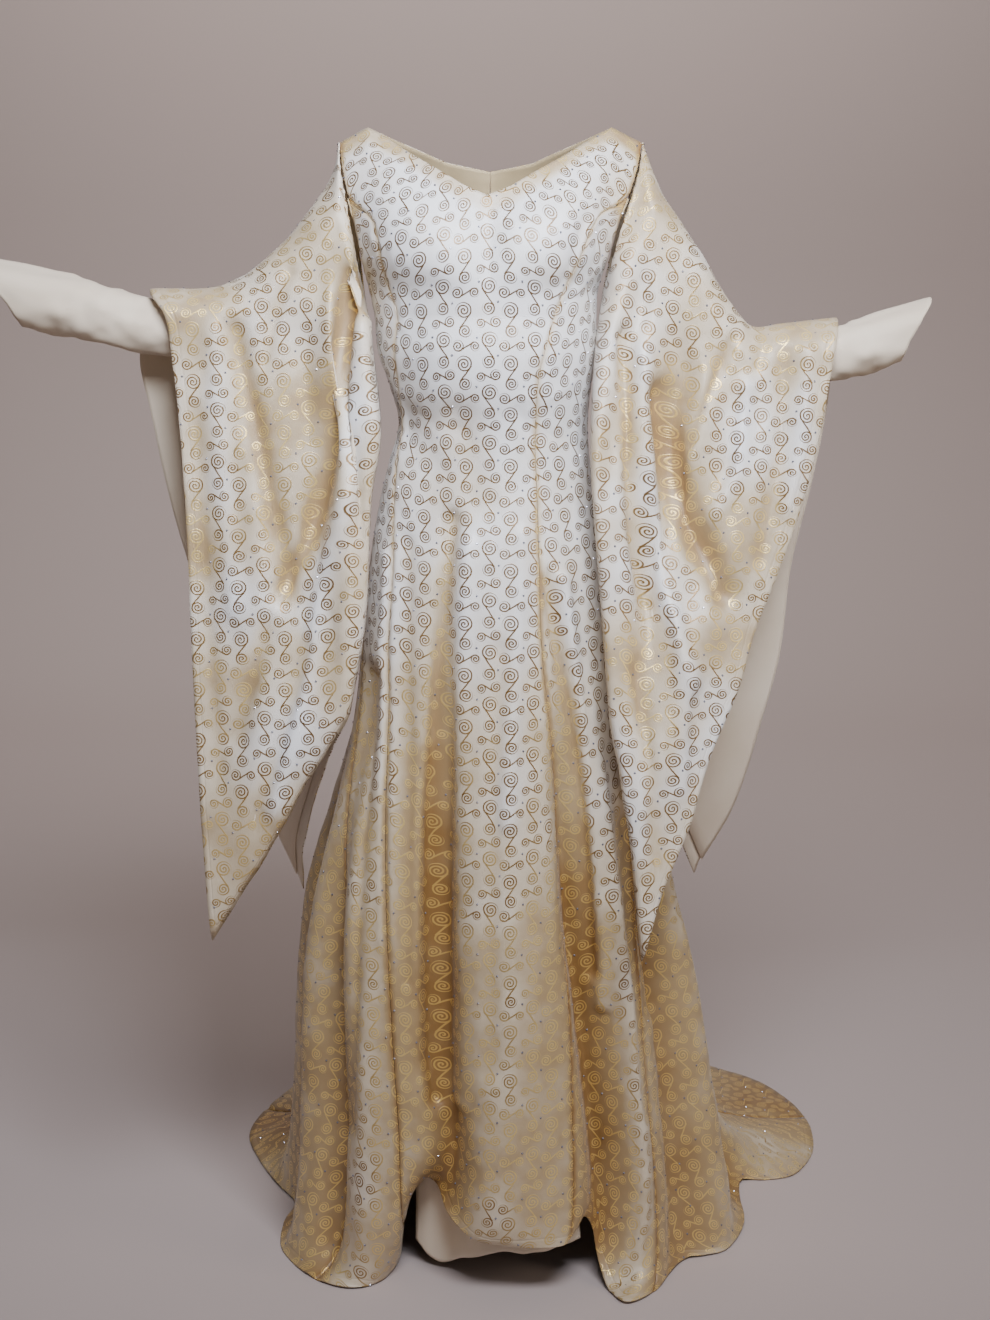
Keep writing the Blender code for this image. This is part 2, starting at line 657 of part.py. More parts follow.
def lining_grid(side, inset):
    """The sleeve's grid from the upper arm on, ending short of the underarm seam and of the edges."""
    grid = sleeve_grid(side, inset)
    sewn = sewn_columns()
    for i, column in enumerate(grid):
        reach = LINING_AT_SEAM if i in sewn else LINING_AT_HEM
        column[0] = column[1].lerp(column[0], reach)
        column[-1] = column[-2].lerp(column[-1], reach)
        column[0].y -= LINING_NARROWING
        column[-1].y += LINING_NARROWING
    return grid[LINING_FIRST_COLUMN:]


def add_sleeve(side, collection, brocade, ivory):
    start = SLEEVE_WALL + LINING_GAP
    shell("sleeve_" + side, sleeve_grid(side, 0.0), sleeve_grid(side, SLEEVE_WALL),
          collection, brocade, sewn_columns())
    shell("sleeve_lining_" + side, lining_grid(side, start), lining_grid(side, start + LINING_WALL),
          collection, ivory)


def arm_rows(side):
    """Centre places and radii of the undersleeve, from the upper arm to the cuff."""
    top = SLEEVE[side]["top"]
    rows = []
    for share, radius, room in ARM_IN_SLEEVE[side]:
        ahead = along_path(top, min(share + 0.02, 1.0)) - along_path(top, max(share - 0.02, 0.0))
        under = Vector((ahead.z, 0.0, -ahead.x)).normalized()
        under = under if under.z < 0 else -under
        place = along_path(top, share) + under * (radius + room)
        rows.append((place.x, place.z, radius))
    return rows + FOREARM[side]


def arm_ring(centre, up, ahead, radius, slant):
    """A round ring of places, drawn out towards the hand at the top."""
    places = []
    for j in range(UNDERSLEEVE_AROUND + 1):
        turn = 2 * math.pi * (j % UNDERSLEEVE_AROUND) / UNDERSLEEVE_AROUND
        place = centre + up * radius * math.cos(turn)
        place += Vector((0.0, radius * math.sin(turn), 0.0))
        place += ahead * slant * (0.5 + 0.5 * math.cos(turn)) ** CUFF_SHARPNESS
        places.append(place)
    return places


def undersleeve_grid(side, inset):
    """Rings along the arm, slanted at the cuff so that a point lies over the hand."""
    rows = arm_rows(side)
    grid = []
    path = [(x, 0.0, z) for x, z, radius in rows]
    lengths = [0.0]
    for a, b in zip(path, path[1:]):
        lengths.append(lengths[-1] + (Vector(b) - Vector(a)).length)
    radii = [(length, row[2]) for length, row in zip(lengths, rows)]
    for i in range(UNDERSLEEVE_ALONG + 1):
        share = i / UNDERSLEEVE_ALONG
        centre = along_path(path, share)
        ahead = along_path(path, min(share + 0.02, 1.0)) - along_path(path, max(share - 0.02, 0.0))
        ahead.normalize()
        up = Vector((-ahead.z, 0.0, ahead.x))
        up = up if up.z > 0 else -up
        radius = smooth_rows(radii, share * lengths[-1])[0]
        past = (centre.x - CUFF_START[side]) / (rows[-1][0] - CUFF_START[side])
        slant = soften(past) * CUFF_POINT[side]
        grid.append(arm_ring(centre, up, ahead, radius - inset, slant))
    return grid


def add_undersleeve(side, collection, ivory):
    grid = undersleeve_grid(side, 0.0)
    shell("undersleeve_" + side, grid, undersleeve_grid(side, UNDERSLEEVE_WALL),
          collection, ivory, range(len(grid)))


def add_skirt_lining(collection, ivory):
    """The stretch of lining that hangs behind the front hem and shows below it."""
    down = body_rows()[LINING_TOP_ROW]
    outer = []
    inner = []
    for line in lines_between(-1, 1)[2:]:
        around = cloth_angle(line, down)
        x, y, rise = smooth_rows(LINING_HEM, line)
        low = Vector((x, y, FLOOR + LAYING_HEIGHT + rise))
        normal = body_normal("front", around, down)
        high = body("front", around, down) - normal * (BODY_WALL + LINING_GAP)
        outer_column = []
        inner_column = []
        for j in range(LINING_ROWS + 1):
            share = j / LINING_ROWS
            place = high.lerp(low, share)
            place.y += LINING_TUCK * math.sin(math.pi * share)
            outer_column.append(place)
            inner_column.append(wall(place, normal, LINING_WALL))
        outer.append(outer_column)
        inner.append(inner_column)
    shell("skirt_lining", outer, inner, collection, ivory)


def build():
    remove_old_objects()
    collection = bpy.data.collections.new("medieval_gown")
    bpy.context.scene.collection.children.link(collection)
    brocade = make_material("cream satin brocade", CREAM, 0.45)
    ivory = make_material("ivory crepe", IVORY, 0.8)

    add_body(collection, brocade)
    for side in ("left", "right"):
        add_sleeve(side, collection, brocade, ivory)
        add_undersleeve(side, collection, ivory)
    add_skirt_lining(collection, ivory)


build()
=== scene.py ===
# %% [markdown]
# A medieval gown in cream brocade, worn form, with wide pointed sleeves, fitted undersleeves
# and a train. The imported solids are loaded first. Every cloth below lies on the solid of the
# same name, and stands for it in the picture. Metres, +Z up, the front faces -Y.

# %% Load the frame
import math

import bmesh
import bpy
import numpy as np
from mathutils import Matrix, Vector, noise


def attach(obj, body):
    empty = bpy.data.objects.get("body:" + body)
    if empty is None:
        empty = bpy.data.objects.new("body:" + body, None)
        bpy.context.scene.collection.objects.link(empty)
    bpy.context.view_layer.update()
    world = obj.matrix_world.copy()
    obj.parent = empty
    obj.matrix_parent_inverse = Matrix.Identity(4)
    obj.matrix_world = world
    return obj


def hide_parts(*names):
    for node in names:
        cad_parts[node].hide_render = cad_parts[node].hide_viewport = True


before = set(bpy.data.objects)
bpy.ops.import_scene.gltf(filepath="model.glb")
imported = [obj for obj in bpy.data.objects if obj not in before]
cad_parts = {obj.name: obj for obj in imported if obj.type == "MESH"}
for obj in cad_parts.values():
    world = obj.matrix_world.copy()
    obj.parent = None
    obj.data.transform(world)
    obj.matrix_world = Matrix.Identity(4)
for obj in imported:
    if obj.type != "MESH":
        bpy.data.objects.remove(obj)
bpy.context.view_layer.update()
print("nodes", sorted(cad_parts))

# %% [markdown]
# Sizes of the gown. They are the driving sizes of its solids, kept here in the same units, so
# that the fine cloth can be worked out by the same rules with many more points.

# %% Driving sizes
FLOOR = -1.400
LAYING_HEIGHT = 0.0022
CLOTH = 0.0016
YOKE_END = 0.22
SKIRT_END = 1.20
HEM_END = 1.40
YOKE_BULGE = 0.006
SHOULDER_BULGE = 0.022
HEM_KNEE = 0.012
FLARE_STEP = 0.10
ARMPIT_SHARE = 0.8333

# Neck edge and shoulder seam, from the centre to the shoulder point
# columns: share, left half width, right half width, y, z
NECK_EDGE = {
    "front": [
        (0.000, 0.003, -0.003, -0.0900, -0.084),
        (0.125, 0.029, 0.025, -0.0850, -0.073),
        (0.250, 0.058, 0.055, -0.0680, -0.055),
        (0.375, 0.087, 0.086, -0.0450, -0.037),
        (0.500, 0.113, 0.113, -0.0220, -0.020),
        (0.625, 0.131, 0.131, -0.0070, -0.009),
        (0.750, 0.142, 0.142, -0.0004, -0.003),
        (1.000, 0.176, 0.178, -0.0004, -0.020),
    ],
    "back": [
        (0.000, 0.000, 0.000, 0.0850, -0.048),
        (0.250, 0.052, 0.052, 0.0750, -0.038),
        (0.500, 0.102, 0.102, 0.0430, -0.018),
        (0.750, 0.142, 0.142, 0.0004, -0.003),
        (1.000, 0.176, 0.178, 0.0004, -0.020),
    ],
}

# Armhole and side seam down to the yoke's end
# columns: share of the yoke, left half width, right half width, y in front, y behind, z
ARMHOLE = [
    (0.0000, 0.176, 0.178, -0.0004, 0.0004, -0.020),
    (0.1667, 0.171, 0.171, -0.0260, 0.0260, -0.052),
    (0.3333, 0.164, 0.160, -0.0410, 0.0420, -0.086),
    (0.5000, 0.156, 0.147, -0.0450, 0.0460, -0.122),
    (0.6667, 0.149, 0.136, -0.0340, 0.0350, -0.160),
    (0.8333, 0.143, 0.128, 0.0000, 0.0000, -0.190),
    (1.0000, 0.136, 0.126, 0.0000, 0.0000, -0.220),
]

# Rings of the bodice and skirt
# columns: depth below the shoulders, left, right, front, back, centre y
RINGS = [
    (0.22, 0.136, 0.126, 0.112, 0.098, 0.000),
    (0.26, 0.133, 0.126, 0.118, 0.096, 0.000),
    (0.30, 0.120, 0.121, 0.112, 0.092, 0.000),
    (0.345, 0.110, 0.117, 0.098, 0.086, 0.000),
    (0.39, 0.121, 0.120, 0.096, 0.092, 0.000),
    (0.44, 0.133, 0.129, 0.102, 0.108, 0.000),
    (0.51, 0.145, 0.143, 0.114, 0.124, 0.000),
    (0.60, 0.156, 0.156, 0.126, 0.138, 0.004),
    (0.68, 0.164, 0.170, 0.138, 0.150, 0.010),
    (0.80, 0.190, 0.192, 0.160, 0.172, 0.022),
    (0.94, 0.220, 0.220, 0.190, 0.208, 0.042),
    (1.07, 0.236, 0.250, 0.215, 0.250, 0.064),
    (1.20, 0.244, 0.276, 0.238, 0.300, 0.084),
]

# Seams as degrees round from centre front
# columns: depth, princess left, princess right, side left, side right, back left, back right
SEAMS = [
    (0.00, 90.0, 90.0, 90.0, 90.0, 90.0, 90.0),
    (0.0367, 90.0, 90.0, 90.0, 90.0, 90.0, 90.0),
    (0.0733, 88.0, 88.0, 90.0, 90.0, 92.0, 92.0),
    (0.11, 67.0, 62.0, 90.0, 90.0, 112.0, 112.0),
    (0.1467, 62.0, 52.0, 90.0, 90.0, 117.0, 117.0),
    (0.1833, 57.0, 43.0, 90.0, 90.0, 122.0, 122.0),
    (0.22, 52.0, 36.0, 90.0, 90.0, 126.0, 126.0),
    (0.28, 60.0, 28.0, 90.0, 90.0, 127.0, 127.0),
    (0.345, 72.0, 27.0, 91.0, 90.0, 128.0, 128.0),
    (0.42, 62.0, 26.0, 89.0, 89.0, 129.0, 129.0),
    (0.50, 53.0, 24.0, 86.0, 86.0, 130.0, 130.0),
    (0.60, 50.0, 23.0, 80.0, 80.0, 130.0, 130.0),
    (0.78, 41.0, 27.0, 66.0, 64.0, 130.0, 130.0),
    (0.96, 33.0, 25.5, 54.0, 52.0, 130.0, 130.0),
    (1.20, 26.5, 21.5, 49.0, 45.0, 130.0, 130.0),
    (1.40, 24.0, 20.0, 50.0, 50.0, 130.0, 130.0),
]

# Skirt folds, ridges with a plus depth and valleys with a minus depth
# columns: starts at, around there, around at the skirt's end, depth, width in degrees
FOLDS = [
    (0.50, -20.0, -12.5, -0.038, 6.2),
    (0.56, 29.0, 32.0, -0.044, 6.0),
    (0.46, -60.0, -37.0, 0.016, 8.0),
    (0.40, 6.0, 3.0, 0.012, 9.0),
    (0.58, 46.0, 39.5, 0.020, 4.2),
    (0.80, -60.0, -52.0, -0.020, 4.5),
    (0.72, 70.0, 58.0, -0.022, 6.0),
    (0.66, 88.0, 73.0, 0.022, 8.0),
    (0.66, 104.0, 96.0, -0.034, 8.0),
    (0.62, 118.0, 114.0, 0.028, 9.0),
    (0.60, 134.0, 136.0, -0.030, 8.0),
    (0.56, 150.0, 154.0, 0.026, 8.0),
    (0.52, 166.0, 170.0, -0.026, 7.0),
    (0.70, -74.0, -66.0, 0.016, 7.0),
    (0.66, -92.0, -84.0, -0.028, 7.0),
    (0.62, -108.0, -104.0, 0.028, 8.0),
    (0.58, -124.0, -124.0, -0.030, 8.0),
    (0.56, -141.0, -144.0, 0.028, 8.0),
    (0.54, -160.0, -163.0, -0.026, 8.0),
    (0.50, 178.0, 182.0, 0.020, 7.0),
]

# Outline of the hem
# columns: around, x, y, height above the laid cloth
HEM = [
    (-180.0, 0.000, 0.640, 0.0),
    (-168.0, -0.095, 0.665, 0.0),
    (-156.0, -0.190, 0.625, 0.0),
    (-144.0, -0.285, 0.555, 0.0),
    (-132.0, -0.330, 0.450, 0.0),
    (-120.0, -0.352, 0.345, 0.0),
    (-110.0, -0.326, 0.250, 0.0),
    (-101.0, -0.290, 0.170, 0.0),
    (-93.0, -0.262, 0.118, 0.0),
    (-82.0, -0.272, 0.055, 0.0),
    (-70.0, -0.270, -0.005, 0.0),
    (-58.0, -0.245, -0.060, 0.0),
    (-48.0, -0.208, -0.103, 0.0),
    (-40.0, -0.170, -0.118, 0.0),
    (-33.0, -0.135, -0.095, 0.0),
    (-27.0, -0.113, -0.040, 0.010),
    (-23.0, -0.107, -0.040, 0.080),
    (-18.0, -0.095, -0.070, 0.124),
    (-13.0, -0.066, -0.090, 0.126),
    (-8.0, -0.052, -0.122, 0.100),
    (-3.0, -0.025, -0.145, 0.080),
    (4.0, 0.015, -0.150, 0.074),
    (12.0, 0.058, -0.151, 0.072),
    (19.0, 0.092, -0.146, 0.072),
    (23.0, 0.104, -0.128, 0.084),
    (28.0, 0.116, -0.104, 0.088),
    (32.5, 0.126, -0.090, 0.062),
    (36.0, 0.134, -0.098, 0.026),
    (40.0, 0.146, -0.126, 0.0),
    (45.0, 0.166, -0.157, 0.0),
    (50.0, 0.200, -0.128, 0.0),
    (55.0, 0.222, -0.084, 0.0),
    (61.0, 0.244, -0.042, 0.0),
    (67.0, 0.270, -0.034, 0.0),
    (74.0, 0.303, -0.016, 0.0),
    (82.0, 0.332, 0.050, 0.0),
    (91.0, 0.337, 0.125, 0.0),
    (99.0, 0.346, 0.186, 0.0),
    (106.0, 0.380, 0.190, 0.0),
    (114.0, 0.426, 0.210, 0.0),
    (122.0, 0.464, 0.300, 0.0),
    (132.0, 0.462, 0.430, 0.0),
    (142.0, 0.405, 0.550, 0.0),
    (154.0, 0.290, 0.640, 0.0),
    (167.0, 0.140, 0.668, 0.0),
    (180.0, 0.000, 0.640, 0.0),
]

print(len(HEM), "points in the hem's outline")

# %% [markdown]
# The wide sleeves are stated by their edges: the fold over the arm, the seam below it, the two
# hems that part from the seam, and the mouth's front and back edge.

# %% Sizes of the sleeves
# Paths outward along the arm or downward
SLEEVE = {
    "left": {
        "top": [(-0.1767, 0.0, -0.0200), (-0.182, 0.0, -0.052), (-0.202, 0.0, -0.085),
                (-0.235, 0.0, -0.125), (-0.269, 0.0, -0.157), (-0.293, 0.0, -0.174),
                (-0.330, 0.0, -0.186), (-0.401, 0.0, -0.188)],
        "seam": [(-0.1485, -0.002, -0.192), (-0.136, -0.034, -0.266), (-0.126, -0.072, -0.354),
                 (-0.137, -0.082, -0.428), (-0.145, -0.092, -0.570), (-0.164, -0.106, -0.680)],
        "front_hem": [(-0.164, -0.106, -0.680), (-0.201, -0.104, -0.738),
                      (-0.263, -0.097, -0.847), (-0.335, -0.090, -0.961)],
        "back_hem": [(-0.164, -0.106, -0.680), (-0.190, -0.070, -0.735), (-0.216, -0.010, -0.810),
                     (-0.238, 0.050, -0.890), (-0.242, 0.100, -0.953)],
        "front_edge": [(-0.401, 0.0, -0.188), (-0.378, 0.0, -0.219), (-0.371, 0.0, -0.270),
                       (-0.365, 0.0, -0.325), (-0.358, 0.0, -0.455), (-0.352, 0.0, -0.645),
                       (-0.344, 0.0, -0.814), (-0.335, 0.0, -0.961)],
        "back_edge": [(-0.401, 0.0, -0.188), (-0.424, 0.0, -0.265), (-0.414, 0.0, -0.330),
                      (-0.393, 0.0, -0.444), (-0.368, 0.0, -0.540), (-0.330, 0.0, -0.700),
                      (-0.285, 0.0, -0.850), (-0.242, 0.0, -0.953)],
    },
    "right": {
        "top": [(0.1787, 0.0, -0.0200), (0.190, 0.0, -0.052), (0.204, 0.0, -0.082),
                (0.228, 0.0, -0.116), (0.251, 0.0, -0.150), (0.272, 0.0, -0.187),
                (0.294, 0.0, -0.216), (0.313, 0.0, -0.232), (0.345, 0.0, -0.228),
                (0.410, 0.0, -0.221)],
        "seam": [(0.1335, -0.002, -0.192), (0.122, -0.052, -0.262), (0.117, -0.076, -0.340),
                 (0.117, -0.092, -0.400), (0.128, -0.106, -0.544), (0.139, -0.128, -0.684)],
        "front_hem": [(0.139, -0.128, -0.684), (0.152, -0.145, -0.754), (0.163, -0.160, -0.833),
                      (0.176, -0.180, -0.957)],
        "back_hem": [(0.139, -0.128, -0.684), (0.178, -0.110, -0.740), (0.214, -0.058, -0.800),
                     (0.236, 0.000, -0.860), (0.258, 0.050, -0.917)],
        "front_edge": [(0.410, 0.0, -0.221), (0.401, 0.0, -0.270), (0.384, 0.0, -0.370),
                       (0.366, 0.0, -0.439), (0.345, 0.0, -0.501), (0.311, 0.0, -0.586),
                       (0.292, 0.0, -0.649), (0.260, 0.0, -0.721), (0.233, 0.0, -0.803),
                       (0.200, 0.0, -0.880), (0.176, 0.0, -0.957)],
        "back_edge": [(0.410, 0.0, -0.221), (0.412, 0.0, -0.306), (0.394, 0.0, -0.421),
                      (0.372, 0.0, -0.522), (0.361, 0.0, -0.636), (0.343, 0.0, -0.713),
                      (0.307, 0.0, -0.834), (0.258, 0.0, -0.917)],
    },
}

# Sleeve folds on both layers
# columns: along top, down top, along end, down end, depth, width along the arm
SLEEVE_FOLDS = {
    "left": [(0.18, 0.15, 0.34, 0.95, -0.012, 0.06), (0.45, 0.10, 0.62, 0.85, -0.010, 0.07),
             (0.28, 0.20, 0.50, 0.95, 0.010, 0.07), (0.72, 0.25, 0.84, 0.95, 0.008, 0.07)],
    "right": [(0.16, 0.15, 0.30, 0.90, -0.010, 0.05), (0.36, 0.15, 0.60, 0.80, -0.018, 0.09),
              (0.58, 0.05, 0.52, 0.45, 0.010, 0.06), (0.80, 0.15, 0.80, 0.95, 0.010, 0.08)],
}
SEAM_SHARE = 0.5625
LOOSE_BLEND = 0.15
FOLD_START = 0.085
FOLD_BLEND = 0.06
ARM_ROOM = (0.051, 0.046)
ARMHOLE_REACH = 0.16

print("the fold over the left arm starts at", SLEEVE["left"]["top"][0])

# %% [markdown]
# The undersleeves lie inside the wide sleeves and go on to the cuffs. The skirt lining is
# stated by its lower edge.

# %% Sizes of the undersleeves and the skirt lining
# columns: share of the sleeve's top line, radius, room above
ARM_IN_SLEEVE = {
    "left": [(0.36, 0.0400, 0.0042), (0.48, 0.0395, 0.0075), (0.60, 0.0385, 0.0100),
             (0.72, 0.0370, 0.0110), (0.84, 0.0355, 0.0110), (0.96, 0.0350, 0.0100)],
    "right": [(0.36, 0.0390, 0.0042), (0.46, 0.0385, 0.0080), (0.56, 0.0375, 0.0110), (0.65, 0.0360, 0.0125),
              (0.72, 0.0355, 0.0130), (0.80, 0.0350, 0.0120), (0.92, 0.0345, 0.0100)],
}
# columns: x, z, radius
FOREARM = {
    "left": [(-0.450, -0.2200, 0.0370), (-0.500, -0.2070, 0.0385), (-0.545, -0.1980, 0.0385)],
    "right": [(0.428, -0.2600, 0.0345), (0.452, -0.2520, 0.0340), (0.478, -0.2440, 0.0335)],
}
CUFF_POINT = {"left": 0.075, "right": 0.055}
CUFF_START = {"left": -0.500, "right": 0.450}
CUFF_SHARPNESS = 1.3

# Edge of the skirt lining below the front hem
# columns: line of cloth, x, y, height above the laid cloth
LINING_HEM = [
    (-0.75, -0.094, -0.050, 0.030),
    (-0.625, -0.078, -0.062, 0.014),
    (-0.40, -0.052, -0.074, 0.012),
    (-0.20, -0.028, -0.112, 0.036),
    (0.20, 0.010, -0.122, 0.048),
    (0.625, 0.066, -0.118, 0.048),
    (1.00, 0.112, -0.088, 0.050),
]
LINING_TOP = 1.0367
LINING_TUCK = 0.010
print("the gown is", round(-FLOOR, 2), "m from shoulder to floor")

# %% [markdown]
# Smooth tables. A tailor's measures are few, and the cloth between them is a smooth curve. A
# spline through the rows of a table gives a place anywhere between them.

# %% Curves through the tables
def mix(start, end, share):
    return start + (end - start) * share


def soften(share):
    share = min(max(share, 0.0), 1.0)
    return share * share * (3.0 - 2.0 * share)


def between_rows(rows, at):
    at = min(max(at, rows[0][0]), rows[-1][0])
    k = max(i for i in range(len(rows) - 1) if rows[i][0] <= at)
    share = (at - rows[k][0]) / (rows[k + 1][0] - rows[k][0])
    return [mix(a, b, share) for a, b in zip(rows[k][1:], rows[k + 1][1:])]


def smooth_rows(rows, at):
    last = len(rows) - 1
    at = min(max(at, rows[0][0]), rows[last][0])
    k = max(i for i in range(last) if rows[i][0] <= at)
    start, end = rows[k], rows[k + 1]
    before, after = rows[max(k - 1, 0)], rows[min(k + 2, last)]
    span = end[0] - start[0]
    f = (at - start[0]) / span
    values = []
    for c in range(1, len(start)):
        slope_start = (end[c] - before[c]) / (end[0] - before[0])
        slope_end = (after[c] - start[c]) / (after[0] - start[0])
        rise = (1 + 2 * f) * (1 - f) ** 2 * start[c] + f * f * (3 - 2 * f) * end[c]
        turn = f * (1 - f) ** 2 * span * slope_start - f * f * (1 - f) * span * slope_end
        values.append(rise + turn)
    return values


path_rows = {}


def along_path(places, share):
    key = tuple(places)
    if key not in path_rows:
        rows = [(0.0, *places[0])]
        for a, b in zip(places, places[1:]):
            rows.append((rows[-1][0] + (Vector(b) - Vector(a)).length, *b))
        path_rows[key] = rows
    rows = path_rows[key]
    return Vector(smooth_rows(rows, share * rows[-1][0]))


print("half way down the left armhole", [round(v, 3) for v in smooth_rows(ARMHOLE, 0.5)])

# %% [markdown]
# The body of the gown. A real one is cut in seven long panels that are sewn side by side. Here
# one rule gives the place of any point of the cloth, by its angle round the body and its depth
# below the shoulders: a yoke between neck and armholes, then rings with folds pressed into
# them, then a curve that lays the hem and the train on the floor.

# %% The body's surface
def wrap_degrees(around):
    return (around + 180.0) % 360.0 - 180.0


def neck_edge(half, around, share):
    left, right, y, z = between_rows(NECK_EDGE[half], share)
    return Vector((-left if around < 0 else right, y, z))


def armhole_edge(half, around, share):
    left, right, front_y, back_y, z = smooth_rows(ARMHOLE, share)
    return Vector((-left if around < 0 else right, front_y if half == "front" else back_y, z))


def fold_depth(around, down):
    push = 0.0
    for start, first, last, depth, width in FOLDS:
        if down <= start:
            continue
        share = (down - start) / (SKIRT_END - start)
        away = wrap_degrees(around - mix(first, last, share))
        push += depth * soften(share * 1.5) * math.exp(-(away / width) ** 2)
    return push


def ring(around, down):
    left, right, front, back, middle = smooth_rows(RINGS, down)
    turn = math.radians(around)
    side = math.sin(turn)
    ahead = math.cos(turn)
    push = fold_depth(around, down)
    wide = (right if side > 0 else left) + push
    deep = (front if ahead > 0 else back) + push
    return Vector((wide * side, middle - deep * ahead, -down))


def side_share(half, around):
    away = abs(wrap_degrees(around))
    if half == "back":
        away = 180.0 - away
    return min(away / 90.0, 1.0)


def yoke(half, around, share):
    out = side_share(half, around)
    swell = Vector((0.0, -1.0 if half == "front" else 1.0, 0.0)) * math.sin(math.pi * share)
    top = neck_edge(half, around, out)
    bottom = ring(around if out < 1.0 else math.copysign(90.0, around), YOKE_END)
    tip = neck_edge(half, around, 1.0)
    armpit = ring(math.copysign(90.0, around), YOKE_END)
    place = top.lerp(bottom, share)
    place += swell * (YOKE_BULGE * (1.0 - out) + SHOULDER_BULGE * math.sin(math.pi * out))
    place += (armhole_edge(half, around, share) - tip.lerp(armpit, share)) * out
    return place


def body(half, around, down):
    if down < YOKE_END:
        return yoke(half, around, down / YOKE_END)
    if down <= SKIRT_END:
        return ring(around, down)
    share = (down - SKIRT_END) / (HEM_END - SKIRT_END)
    start = ring(around, SKIRT_END)
    flare = (start - ring(around, SKIRT_END - FLARE_STEP)) / FLARE_STEP
    x, y, rise = smooth_rows(HEM, wrap_degrees(around))
    end = Vector((x, y, FLOOR + LAYING_HEIGHT + max(rise, 0.0)))
    knee = start + flare * (start.z - end.z - HEM_KNEE)
    return start.lerp(knee, share).lerp(knee.lerp(end, share), share)


def seam_angle(line, down):
    number = abs(line)
    if number == 0:
        return 0.0
    if number == 4:
        return math.copysign(180.0, line)
    column = 2 * (number - 1) + (1 if line > 0 else 0)
    return math.copysign(smooth_rows(SEAMS, down)[column], line)


def cloth_angle(line, down):
    low = math.floor(line)
    share = line - low
    if share == 0.0:
        return seam_angle(low, down)
    return mix(seam_angle(low, down), seam_angle(low + 1, down), share)


print("hem at the centre front", [round(v, 3) for v in body("front", 0.0, HEM_END)])

# %% [markdown]
# A wide sleeve is one cloth folded over the arm. Each layer hangs from the fold as a flat
# sheet, rounds over the arm at its top, and meets the other layer at the seam under the arm.

# %% The sleeve's surface
def armhole(side, layer, share):
    half = "front" if layer < 0 else "back"
    return armhole_edge(half, 1.0 if side == "right" else -1.0, share * ARMPIT_SHARE)


def closing(down):
    return math.sqrt(max(1.0 - down ** 4, 0.0))


def sleeve(side, layer, along, down):
    form = SLEEVE[side]
    front = layer < 0
    top = along_path(form["top"], along)
    if along <= SEAM_SHARE:
        low = along_path(form["seam"], along / SEAM_SHARE)
    else:
        loose = form["front_hem"] if front else form["back_hem"]
        low = along_path(loose, (along - SEAM_SHARE) / (1.0 - SEAM_SHARE))
    start_top = Vector(form["top"][0])
    start_low = Vector(form["seam"][0])
    outer_path = form["front_edge"] if front else form["back_edge"]
    rim = armhole(side, layer, down)
    rim = rim + (start_top - armhole(side, layer, 0.0)).lerp(start_low - armhole(side, layer, 1.0), down)
    place = top.lerp(low, down)
    place += (rim - start_top.lerp(start_low, down)) * (1.0 - along)
    edge = along_path(outer_path, down)
    place += (edge - Vector(outer_path[0]).lerp(Vector(outer_path[-1]), down)) * along
    hang = (top - place).length
    room = mix(ARM_ROOM[0], ARM_ROOM[1], along)
    over = math.sqrt(max(1.0 - (1.0 - min(hang / room, 1.0)) ** 2, 0.0))
    y = layer * room * over * closing(down) + low.y * down * down
    reach = max(1.0 - along / ARMHOLE_REACH, 0.0) ** 2
    place.y = mix(y, rim.y, reach)
    hang = (top - place).length
    place.y += layer * sleeve_fold(side, along, down) * soften((hang - FOLD_START) / FOLD_BLEND)
    return place


def sleeve_fold(side, along, down):
    push = 0.0
    for along_top, down_top, along_end, down_end, depth, width in SLEEVE_FOLDS[side]:
        share = (down - down_top) / (down_end - down_top)
        middle = mix(along_top, along_end, min(max(share, 0.0), 1.0))
        fade = soften((share + 0.15) / 0.5) * soften((1.15 - share) / 0.3)
        push += depth * fade * math.exp(-((along - middle) / width) ** 2)
    sewn = 1.0 - soften((along - SEAM_SHARE) / LOOSE_BLEND)
    return push * mix(1.0, closing(down), sewn)


print("tip of the left sleeve", [round(v, 3) for v in sleeve("left", -1, 1.0, 1.0)])
